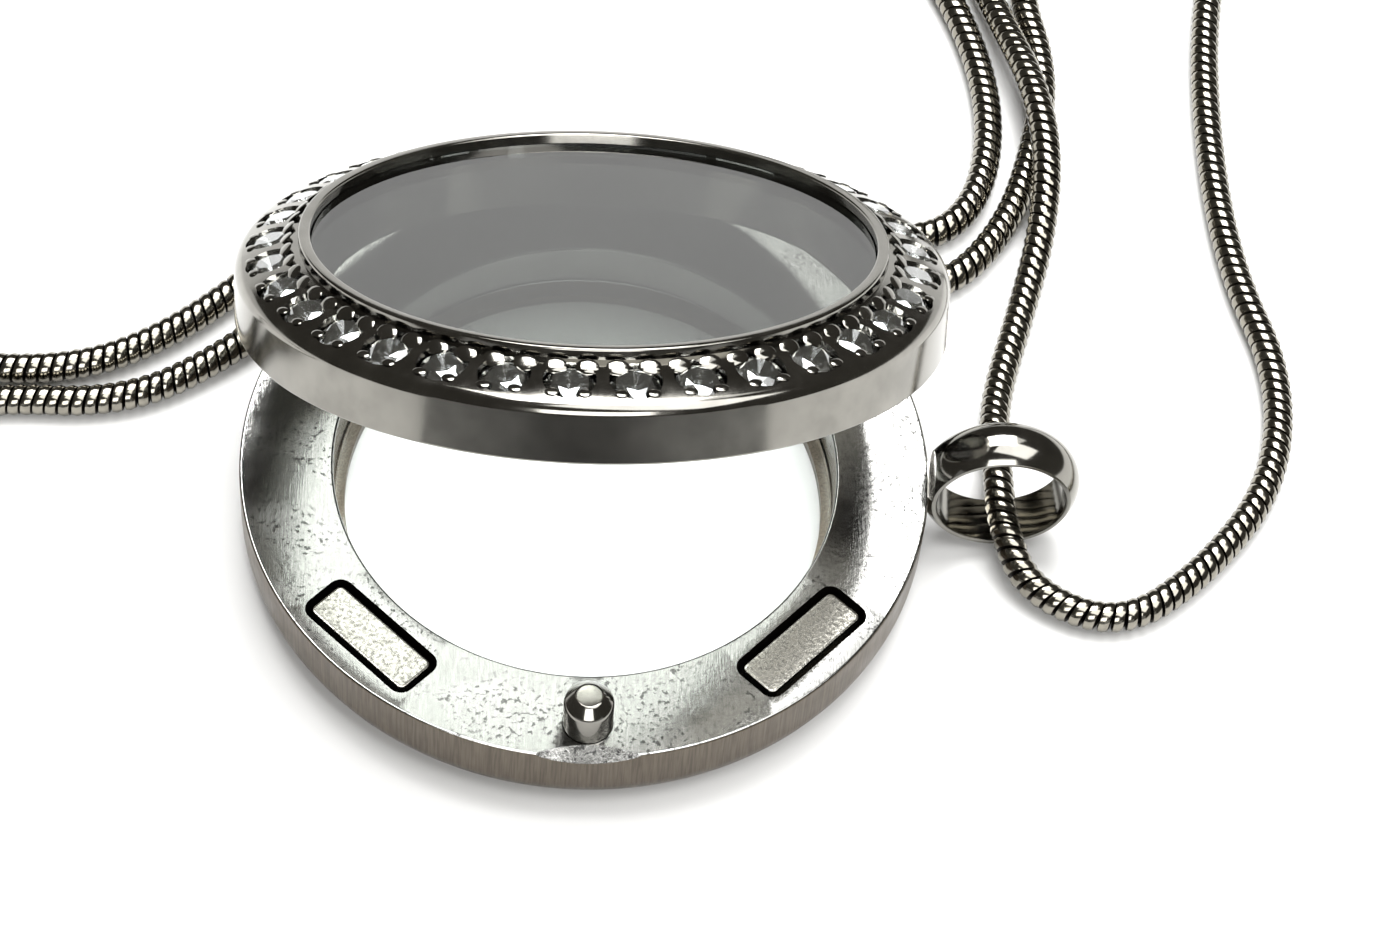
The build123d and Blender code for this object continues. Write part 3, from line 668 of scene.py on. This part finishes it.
def grey_card(tree, place, colours):
    # Matt grey paper, darkest in the middle: it shades what the front of the locket mirrors.
    fibre = grain(tree, place, 0.8)
    across = add_node(tree, "ShaderNodeSeparateXYZ", inputs={"Vector": place}).outputs["X"]
    middle = tones(tree, fibre, 0.3, 0.7, shade(colours.card, 0.8), shade(colours.card))
    # where it pales to the left and to the right of its middle
    left, right = (-90 * MM, -22 * MM), (6 * MM, 60 * MM)
    pale = shade(colours.card, 3.5)
    return add_node(tree, "ShaderNodeBsdfPrincipled", inputs={
        "Base Color": tones(tree, across, *left, pale, tones(tree, across, *right, middle, pale)),
        "Roughness": 0.95, "Specular IOR Level": 0.1,
    })


FINISHES = {
    polished_steel: "Polished stainless steel",
    satin_steel: "Ground satin stainless steel",
    brushed_side_painted_dark: "Brushed stainless steel side",
    nickel_plate: "Rough nickel plate",
    chain_steel: "Tumbled stainless steel chain",
    painted_shade_steel: "Oxidised steel",
    grey_glass: "Grey sheet glass",
    clear_glass: "Clear sheet glass",
    cut_crystal: "Cut crystal",
    pale_floor: "Pale matt card",
    grey_card: "Matt grey paper",
}
made_finishes = {}


def finish(fill):
    """The material of a finish, made the first time that it is asked for."""
    if fill not in made_finishes:
        material = bpy.data.materials.new(FINISHES[fill])
        material.use_nodes = True
        tree = material.node_tree
        tree.nodes.clear()
        place = add_node(tree, "ShaderNodeTexCoord").outputs["Object"]
        shader = fill(tree, place, bpy.context.scene.locket_colours)
        add_node(tree, "ShaderNodeOutputMaterial", inputs={"Surface": shader.outputs[0]})
        made_finishes[fill] = material
    return made_finishes[fill]


# The stage

def softbox(name, azimuth, elevation, distance, width, height, radiance):
    """A rectangular lamp that faces the locket, from an azimuth to the right of +Y."""
    lamp = bpy.data.lights.new(name, "AREA")
    lamp.shape = "RECTANGLE"
    lamp.size = width
    lamp.size_y = height
    lamp.energy = pi * width * height * radiance
    away = Vector((sin(azimuth) * cos(elevation), cos(azimuth) * cos(elevation), sin(elevation)))
    made = linked(name, lamp)
    made.location = away * distance
    made.rotation_euler = away.to_track_quat("Z", "Y").to_euler()
    made.visible_camera = False


class LOCKET_OT_camera(Operator):
    """Set up the camera at the photograph's angle"""
    bl_idname = "locket.camera"
    bl_label = "Set up the camera"

    def execute(self, context):
        stage = context.scene.locket_stage
        yaw, pitch, roll = stage.camera_yaw, stage.camera_pitch, stage.camera_roll
        ahead = Vector((sin(yaw) * cos(pitch), cos(yaw) * cos(pitch), -sin(pitch)))
        level = ahead.cross(Vector((0, 0, 1))).normalized()
        above = level.cross(ahead)
        right = level * cos(roll) + above * sin(roll)
        up = above * cos(roll) - level * sin(roll)
        lens = bpy.data.cameras.new("Camera")
        lens.sensor_width = 36.0
        lens.lens = stage.camera_lens
        lens.clip_start = 10 * MM
        lens.clip_end = 20.0
        camera = linked("Camera", lens)
        turn = Matrix((right, up, -ahead)).transposed().to_4x4()
        camera.matrix_world = Matrix.Translation(stage.camera_place) @ turn
        context.scene.camera = camera
        return {"FINISHED"}


class LOCKET_OT_stage(Operator):
    """Lay the pale floor and set up the studio light"""
    bl_idname = "locket.stage"
    bl_label = "Set up the stage"

    def execute(self, context):
        scene = context.scene
        stage = scene.locket_stage
        bm = bmesh.new()
        bmesh.ops.create_grid(bm, x_segments=1, y_segments=1, size=stage.floor)
        bmesh.ops.translate(bm, vec=(0, 0, -HAIR), verts=bm.verts[:])
        floor = new_object("floor", bm, [finish(pale_floor)])

        # a low curved card in front, out of the picture
        bm = bmesh.new()
        aside = stage.card_spread - pi / 2
        foot = Vector((cos(aside), sin(aside), 0.0)) * stage.card_distance
        low, high = bm.verts.new(foot), bm.verts.new(foot + Vector((0, 0, stage.card_height)))
        edge = bm.edges.new((low, high))
        bmesh.ops.spin(
            bm, geom=[low, high, edge], cent=(0, 0, 0), axis=(0, 0, 1), dvec=(0, 0, 0),
            angle=-2 * stage.card_spread, steps=32, use_merge=False, use_duplicate=False,
        )
        card = new_object("card", bm, [finish(grey_card)])
        card.visible_camera = False
        card.visible_shadow = False

        for name, azimuth, elevation, distance, width, height, light in SOFTBOXES:
            radiance = getattr(stage, light)
            softbox(name, radians(azimuth), radians(elevation), distance, width, height, radiance)

        world = bpy.data.worlds.new("Room")
        world.use_nodes = True
        tree = world.node_tree
        tree.nodes.clear()
        colours = scene.locket_colours
        seen = add_node(tree, "ShaderNodeLightPath").outputs["Is Camera Ray"]
        room = add_node(tree, "ShaderNodeMix", settings={"data_type": "RGBA"}, inputs={
            0: seen, 6: shade(colours.gloom), 7: shade(colours.backdrop),
        })
        sky = add_node(tree, "ShaderNodeBackground", inputs={"Color": room.outputs[2], "Strength": 1.0})
        add_node(tree, "ShaderNodeOutputWorld", inputs={"Surface": sky.outputs[0]})
        scene.world = world
        scene.view_settings.view_transform = "Standard"
        scene.view_settings.look = "None"
        return {"FINISHED"}


# The chain

def chain_ring(scene):
    """One closed ring of the chain about Z: a crowned band between two sunk edges, leaning."""
    chain = scene.locket_chain
    half, band = chain.pitch / 2, chain.band / 2
    edge = chain.radius - chain.crown
    rows = [
        (-half, edge - chain.groove), (-band, edge), (0.0, chain.radius), (band, edge),
        (half, edge - chain.groove),
    ]
    bm = bmesh.new()
    bmesh.ops.create_circle(bm, cap_ends=True, segments=chain.sides, radius=rows[0][1])
    bmesh.ops.translate(bm, vec=(0, 0, rows[0][0]), verts=bm.verts[:])
    ring = bm.edges[:]
    for (low, low_radius), (high, high_radius) in zip(rows, rows[1:]):
        grown = bmesh.ops.extrude_edge_only(bm, edges=ring)["geom"]
        corners = [part for part in grown if isinstance(part, bmesh.types.BMVert)]
        ring = [
            part for part in grown
            if isinstance(part, bmesh.types.BMEdge) and all(v in corners for v in part.verts)
        ]
        share = high_radius / low_radius
        bmesh.ops.scale(bm, vec=(share, share, 1.0), verts=corners)
        bmesh.ops.translate(bm, vec=(0, 0, high - low), verts=corners)
    bmesh.ops.edgeloop_fill(bm, edges=ring)
    bmesh.ops.recalc_face_normals(bm, faces=bm.faces[:])
    for face in bm.faces:
        face.smooth = True
        # the groove and end faces take the steel painted dark as shade
        face.material_index = 1 if abs(face.calc_center_median().z) > band else 0
    # the edges round the band and the ends are sharp
    for line in bm.edges:
        low, high = sorted(abs(corner.co.z) for corner in line.verts)
        line.smooth = low < 0.9 * band or high - low > HAIR
    lean = Matrix.Identity(4)
    lean[2][0] = -chain.slant
    bmesh.ops.transform(bm, matrix=lean, verts=bm.verts[:])
    return bm


def rings_along(ring, pitch):
    """A node group that sets copies of the ring along a line, upright, and makes them real."""
    group = bpy.data.node_groups.new("Rings along the route", "GeometryNodeTree")
    for way in ("INPUT", "OUTPUT"):
        group.interface.new_socket("Geometry", in_out=way, socket_type="NodeSocketGeometry")
    start = add_node(group, "NodeGroupInput")
    line = add_node(group, "GeometryNodeMeshToCurve", inputs={"Mesh": start.outputs[0]})
    upright = add_node(
        group, "GeometryNodeSetCurveNormal", settings={"mode": "Z_UP"},
        inputs={"Curve": line.outputs["Curve"]},
    )
    points = add_node(group, "GeometryNodeCurveToPoints", settings={"mode": "LENGTH"}, inputs={
        "Curve": upright.outputs["Curve"], "Length": pitch,
    })
    source = add_node(group, "GeometryNodeObjectInfo", inputs={"Object": ring})
    rings = add_node(group, "GeometryNodeInstanceOnPoints", inputs={
        "Points": points.outputs["Points"], "Instance": source.outputs["Geometry"],
        "Rotation": points.outputs["Rotation"],
    })
    real = add_node(
        group, "GeometryNodeRealizeInstances", inputs={"Geometry": rings.outputs["Instances"]}
    )
    add_node(group, "NodeGroupOutput", inputs={0: real.outputs["Geometry"]})
    return group


class LOCKET_OT_chain(Operator):
    """Lay the chain's rings along its route and turn its clasp"""
    bl_idname = "locket.chain"
    bl_label = "Lay the chain"

    def execute(self, context):
        chain = context.scene.locket_chain
        curve = bpy.data.curves.new("route", "CURVE")
        curve.dimensions = "3D"
        curve.resolution_u = 16
        spline = curve.splines.new("NURBS")
        spline.points.add(len(CHAIN_ROUTE_MM) - 1)
        for point, place in zip(spline.points, CHAIN_ROUTE_MM):
            point.co = (place[0] * MM, place[1] * MM, place[2] * MM, 1.0)
        spline.order_u = 3
        spline.use_endpoint_u = True
        route = linked("route", curve)
        line = evaluated(route)
        bpy.data.objects.remove(route)
        bpy.data.curves.remove(curve)

        ring = new_object("ring", chain_ring(context.scene), [finish(chain_steel), finish(painted_shade_steel)])
        laid = linked("rings", line)
        modifier = laid.modifiers.new("Rings", "NODES")
        group = rings_along(ring, chain.pitch)
        modifier.node_group = group
        mesh = evaluated(laid)
        bpy.data.objects.remove(laid)
        bpy.data.objects.remove(ring)
        bpy.data.node_groups.remove(group)
        mesh.name = "chain_rings"
        rings = linked("chain_rings", mesh)
        if not mesh.polygons or len(mesh.materials) != 2:
            raise RuntimeError("the chain has no rings")
        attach(rings, "case")
        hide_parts("snake_chain")

        first, last = Vector(CHAIN_ROUTE_MM[-1]) * MM, Vector(CHAIN_ROUTE_MM[0]) * MM
        size = (last - first).length + 2 * chain.clasp_overlap
        radius, cap, bore = chain.clasp_radius, chain.clasp_cap, chain.radius + chain.bore_gap
        groove, deep = chain.clasp_groove, chain.bore_depth
        barrel = turned([
            (0.0, deep, 0), (bore, deep, 0), (bore, 0.0, FINE_EDGE), (radius - cap, 0.0, SMALL_EDGE),
            (radius, cap, PLAIN_EDGE), (radius, size / 2 - groove, 0), (radius - groove, size / 2, 0),
            (radius, size / 2 + groove, 0), (radius, size - cap, PLAIN_EDGE),
            (radius - cap, size, SMALL_EDGE), (bore, size, FINE_EDGE), (bore, size - deep, 0),
            (0.0, size - deep, 0),
        ], ROD_SIDES)
        along_y = Matrix.Rotation(-pi / 2, 4, "X")
        place = Matrix.Translation((first.x, first.y - chain.clasp_overlap, first.z)) @ along_y
        clasp = new_object("clasp_barrel", placed(barrel, place), [finish(polished_steel)])
        finished(clasp, "case", ["clasp"])
        return {"FINISHED"}


# The case

def bail_ring(case):
    """The bail ring: a domed band, turned about Y, flattened where the lid's wall passes."""
    band = case.bail_width / 2
    half = 2 * atan(case.bail_drop / band)
    edge, inner = case.bail_radius - case.bail_drop, case.bail_radius - case.bail_band
    crown = edge + band * tan(half)
    # the dome is one corner, rounded almost as far as its two ends
    leg = 0.995 * band / cos(half)
    reach = case.radius + case.bail_radius - case.bail_solder
    centre = Matrix.Translation((
        reach * cos(case.bail_azimuth), reach * sin(case.bail_azimuth),
        case.bail_radius + case.bail_lift,
    ))
    ring = new_object("bail", placed(turned([
        (inner, -band, PLAIN_EDGE), (edge, -band, 0), (crown, 0.0, leg), (edge, band, 0),
        (inner, band, PLAIN_EDGE),
    ], BAIL_SIDES), centre @ Matrix.Rotation(-pi / 2, 4, "X")))
    width, depth, tall = 2 * (case.radius + case.lid_passing), 4 * case.radius, 10 * MM
    passing = bmesh.new()
    bmesh.ops.create_cube(passing, size=1.0)
    bmesh.ops.scale(passing, vec=(width, depth, tall), verts=passing.verts[:])
    bmesh.ops.translate(passing, vec=(0, 0, case.height - HAIR + tall / 2), verts=passing.verts[:])
    worked(ring, [("DIFFERENCE", passing, 0)])
    mesh = ring.data
    bm = bmesh.new()
    bm.from_mesh(mesh)
    bpy.data.objects.remove(ring)
    bpy.data.meshes.remove(mesh)
    return bm


class LOCKET_OT_case(Operator):
    """Turn the case, cut its pockets and notch, and weld on its knuckles and bail ring"""
    bl_idname = "locket.case"
    bl_label = "Build the case"

    def execute(self, context):
        scene = context.scene
        case, hinge, magnet, pin = (
            scene.locket_case, scene.locket_hinge, scene.locket_magnets, scene.locket_pin
        )
        finishes = [finish(kind) for kind in (satin_steel, brushed_side_painted_dark, painted_shade_steel, polished_steel)]
        satin, side, painted_shade, polish = range(4)
        body = new_object("case_body", turned([
            (case.cavity - case.lip_width, 0.0, 0),
            (case.radius, 0.0, case.back_rounding),
            (case.radius, case.height, case.edge_break),
            (case.cavity, case.height, case.edge_break),
            (case.cavity, case.lip_height, 0),
            (case.cavity - case.lip_width, case.lip_height, 0),
        ]), finishes)

        # thumb notch: a large leaning rod
        slope = atan(case.notch_depth / case.notch_reach)
        radius = (case.notch_half_width**2 + case.notch_depth**2) / (2 * case.notch_depth)
        bottom = Vector((0.0, -case.radius, case.height - case.notch_depth))
        above = Vector((0.0, -sin(slope), cos(slope)))
        lean = Matrix.Translation(bottom + above * radius) @ Matrix.Rotation(slope - pi / 2, 4, "X")
        notch = placed(rod(radius, 4 * case.notch_reach, NOTCH_SIDES), lean)

        # magnet pockets, pin hole and the room for the lid's knuckle
        hole = placed(
            rod(pin.radius + hinge.pin_fit, 2 * (pin.root + hinge.pin_fit)),
            Matrix.Translation((0, -pin.circle, case.height)),
        )
        level = case.height + hinge.parting / 2
        room = hinge.lid_knuckle + 2 * (hinge.gap - HAIR)
        # the pockets, pin hole and pin bore take the steel painted dark as shade
        tools = [
            ("DIFFERENCE", notch, satin),
            ("DIFFERENCE", magnet_pockets(scene, magnet.case_thickness, case.height), painted_shade),
            ("DIFFERENCE", hole, painted_shade),
            ("DIFFERENCE", hinge_rod(scene, hinge.knuckle_radius + hinge.gap, room, level), side),
        ]

        # knuckles and their leaves down the wall
        size, foot = hinge.case_knuckle, case.back_rounding + case.edge_break
        for middle in (-knuckle_middle(hinge), knuckle_middle(hinge)):
            knuckle = hinge_rod(scene, hinge.knuckle_radius, size, level, middle)
            leaf = hinge_leaf(scene, case.height - HAIR, foot, size, middle)
            tools += [("UNION", knuckle, side), ("UNION", leaf, side)]
        through = 2.2 * (knuckle_middle(hinge) + size / 2)
        bore = hinge_rod(scene, hinge.pin_radius + hinge.pin_fit, through, level)
        tools += [("DIFFERENCE", bore, painted_shade), ("UNION", bail_ring(case), polish)]
        worked(body, tools)

        # the wall's outside is brushed and painted darker as shade, the meeting face and the inside are
        # satin
        for face in body.data.polygons:
            if face.material_index == satin:
                x, y, z = face.center
                outside = (x * x + y * y) ** 0.5 > case.radius - 1.2 * case.edge_break
                if (outside and face.normal.z < 0.6) or z < case.height / 3:
                    face.material_index = side
        finished(body, "case", ["back_case"])
        return {"FINISHED"}


class LOCKET_OT_small_parts(Operator):
    """Make the bar magnets, the locating pin and the hinge pin"""
    bl_idname = "locket.small_parts"
    bl_label = "Build the magnets and pins"

    def execute(self, context):
        scene = context.scene
        case, hinge, magnet, pin = (
            scene.locket_case, scene.locket_hinge, scene.locket_magnets, scene.locket_pin
        )
        in_case = Matrix.Translation((0, 0, case.height - magnet.recess - magnet.case_thickness))
        in_lid = lid_place(scene) @ Matrix.Translation((0, 0, magnet.recess))
        kinds = (
            ("case", magnet.case_thickness, 1, in_case), ("lid", magnet.lid_thickness, -1, in_lid),
        )
        for place, side in zip(magnet_places(scene), ("left", "right")):
            for body, thickness, bevel_at, sunk in kinds:
                block = placed(bar(
                    magnet.width, magnet.size, thickness, magnet.corner, bevel_at, magnet.bevel
                ), sunk @ place)
                made = new_object(f"{body}_bar_{side}", block, [finish(nickel_plate)])
                finished(made, body, [f"{body}_magnet_{side}"])

        foot, top = case.height - pin.root, case.height + pin.height
        peg = turned([
            (0.0, foot, 0), (pin.radius, foot, 0), (pin.radius, top - pin.chamfer, PLAIN_EDGE),
            (pin.radius - pin.chamfer, top, SMALL_EDGE), (0.0, top, 0),
        ], ROD_SIDES)
        stands = Matrix.Translation((0, -pin.circle, 0))
        made = new_object("locating_peg", placed(peg, stands), [finish(polished_steel)])
        finished(made, "case", ["locating_pin"])

        half = knuckle_middle(hinge) + hinge.case_knuckle / 2
        rivet = turned([
            (0.0, -half, 0), (hinge.pin_radius, -half, SMALL_EDGE),
            (hinge.pin_radius, half, SMALL_EDGE), (0.0, half, 0),
        ], PIN_SIDES)
        axis = Matrix.Translation((0, case.radius + hinge.offset, case.height + hinge.parting / 2))
        lies = axis @ Matrix.Rotation(pi / 2, 4, "Y")
        made = new_object("hinge_rivet", placed(rivet, lies), [finish(polished_steel)])
        finished(made, "case", ["hinge_pin"])
        return {"FINISHED"}


# The lid

class LOCKET_OT_lid(Operator):
    """Turn the lid's frame, cut its seats, pockets and socket, and set its prongs"""
    bl_idname = "locket.lid"
    bl_label = "Build the lid"

    def execute(self, context):
        scene = context.scene
        case, hinge, magnet, pin, lid, stone = (
            scene.locket_case, scene.locket_hinge, scene.locket_magnets, scene.locket_pin,
            scene.locket_lid, scene.locket_stones,
        )
        rim = case.radius - lid.bezel_width
        inner = rim - lid.rim_width
        opening = inner - lid.ledge_width
        inner_slope, bezel_top = bezel(lid, lid.bezel_width)
        top = bezel_top + lid.rim_step
        ledge = top - lid.glass_recess - lid.glass_thickness - lid.glass_seat
        # the dome is one corner, rounded almost as far as its two ends
        leg = lid.bezel_radius * tan((lid.bezel_edge_angle - inner_slope) / 2)
        shoulder = lid.shoulder * tan((pi / 2 - lid.bezel_edge_angle) / 2)
        body = new_object("lid_body", turned([
            (opening, 0.0, FINE_EDGE),
            (case.radius, 0.0, case.edge_break),
            (case.radius, lid.wall_height, shoulder),
            (
                case.radius - leg * cos(lid.bezel_edge_angle),
                lid.wall_height + leg * sin(lid.bezel_edge_angle), 0.99 * leg - shoulder,
            ),
            (rim, bezel_top, 0),
            (rim, top, lid.rim_rounding),
            (inner, top, lid.rim_rounding),
            (inner, ledge, 0),
            (opening, ledge, FINE_EDGE),
        ]), [finish(polished_steel), finish(painted_shade_steel)])
        polish, painted_shade = range(2)

        # each cut starts outside the lid: a seat's above the dome, the socket's below the lid
        over, under = 0.5 * MM, -1.0 * MM
        seat = turned([
            (0.0, over, 0), (stone.seat_radius, over, 0), (stone.seat_radius, -stone.seat_step, 0),
            (stone.seat_floor, -stone.seat_depth, 0), (0.0, -stone.seat_depth, 0),
        ], SEAT_SIDES)
        places = stone_places(scene)
        depth, radius = pin.height - hinge.parting + pin.socket_gap, pin.radius + pin.socket_gap
        socket = turned([
            (0.0, under, 0), (radius, under, 0), (radius, depth - pin.chamfer, 0),
            (radius - pin.chamfer, depth, 0), (0.0, depth, 0),
        ], PIN_SIDES)
        # the pockets, socket and pin bore take the steel painted dark as shade
        tools = [
            ("DIFFERENCE", placed(seat, *places), polish),
            ("DIFFERENCE", magnet_pockets(scene, magnet.lid_thickness, 0.0), painted_shade),
            ("DIFFERENCE", placed(socket, Matrix.Translation((0, -pin.circle, 0))), painted_shade),
        ]
        # the hinge's axis lies half the parting gap below the lid's underside
        level = -hinge.parting / 2
        room = hinge.case_knuckle + 2 * (hinge.gap - HAIR)
        for middle in (-knuckle_middle(hinge), knuckle_middle(hinge)):
            relief = hinge_rod(scene, hinge.knuckle_radius + hinge.gap, room, level, middle)
            tools.append(("DIFFERENCE", relief, polish))
        knuckle = hinge_rod(scene, hinge.knuckle_radius, hinge.lid_knuckle, level)
        leaf = hinge_leaf(scene, HAIR, hinge.lid_leaf_height, hinge.lid_knuckle)
        bore = hinge_rod(scene, hinge.pin_radius + hinge.pin_fit, 2 * hinge.lid_knuckle, level)
        tools += [("UNION", knuckle, polish), ("UNION", leaf, polish), ("DIFFERENCE", bore, painted_shade)]
        worked(body, tools)
        hung = lid_place(scene)
        body.data.transform(hung)
        finished(body, "lid", ["lid_frame"])

        # flattened prong tips: a large inner pair that leans over the stone and a small outer pair
        tip = bmesh.new()
        bmesh.ops.create_uvsphere(tip, u_segments=12, v_segments=6, radius=1.0)
        size = (stone.prong_width, stone.prong_length, stone.prong_height)
        bmesh.ops.scale(tip, vec=size, verts=tip.verts[:])
        along = stone.prong_distance * cos(stone.prong_angle)
        aside = stone.prong_distance * sin(stone.prong_angle)
        tips = []
        for out, lean, share in ((-1, stone.prong_lean, 1.0), (1, 0.0, stone.prong_outer)):
            shape = Matrix.Rotation(lean, 4, "Y") @ Matrix.Scale(share, 4)
            for side in (-1, 1):
                spot = Matrix.Translation((out * along, side * aside, 0.0))
                tips.extend(hung @ place @ spot @ shape for place in places)
        made = new_object("prong_tips", placed(tip, *tips), [finish(polished_steel)])
        finished(made, "lid", sharp=60.0)
        return {"FINISHED"}


class LOCKET_OT_glass(Operator):
    """Finish the two glasses and the cut stones"""
    bl_idname = "locket.glass"
    bl_label = "Finish the glasses and stones"

    def execute(self, context):
        kinds = {"back_glass": clear_glass, "lid_glass": grey_glass}
        for number in range(context.scene.locket_stones.count):
            kinds[f"stone_{number + 1:02d}"] = cut_crystal
        for name, kind in kinds.items():
            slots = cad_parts[name].material_slots
            if not slots:
                raise RuntimeError(name + " has no material slot")
            for place in slots:
                place.material = finish(kind)
        return {"FINISHED"}


class LOCKET_PT_panel(Panel):
    """The locket's sizes, colours and steps"""
    bl_idname = "LOCKET_PT_panel"
    bl_label = "Floating Locket"
    bl_space_type = "VIEW_3D"
    bl_region_type = "UI"
    bl_category = "Locket"

    def draw(self, context):
        layout = self.layout
        for step in STEPS:
            layout.operator(step.bl_idname)
        for place, group in GROUPS.items():
            box = layout.box()
            box.label(text=group.__name__.replace("Locket", ""))
            values = getattr(context.scene, place)
            for name in group.__annotations__:
                box.prop(values, name)


GROUPS = {
    "locket_case": LocketCaseSizes,
    "locket_hinge": LocketHingeSizes,
    "locket_magnets": LocketMagnetSizes,
    "locket_pin": LocketPinSizes,
    "locket_lid": LocketLidSizes,
    "locket_stones": LocketStoneSizes,
    "locket_chain": LocketChainSizes,
    "locket_stage": LocketStageSizes,
    "locket_colours": LocketColours,
}
STEPS = (
    LOCKET_OT_camera, LOCKET_OT_stage, LOCKET_OT_chain, LOCKET_OT_case, LOCKET_OT_small_parts,
    LOCKET_OT_lid, LOCKET_OT_glass,
)


def register():
    for group in GROUPS.values():
        bpy.utils.register_class(group)
    for place, group in GROUPS.items():
        setattr(bpy.types.Scene, place, PointerProperty(type=group))
    for step in STEPS:
        bpy.utils.register_class(step)
    bpy.utils.register_class(LOCKET_PT_panel)


def unregister():
    bpy.utils.unregister_class(LOCKET_PT_panel)
    for step in reversed(STEPS):
        bpy.utils.unregister_class(step)
    for place in GROUPS:
        delattr(bpy.types.Scene, place)
    for group in reversed(list(GROUPS.values())):
        bpy.utils.unregister_class(group)


def main():
    register()
    bpy.ops.locket.camera()
    bpy.ops.locket.stage()
    bpy.ops.locket.chain()
    bpy.ops.locket.case()
    bpy.ops.locket.small_parts()
    bpy.ops.locket.lid()
    bpy.ops.locket.glass()


if __name__ == "__main__":
    main()
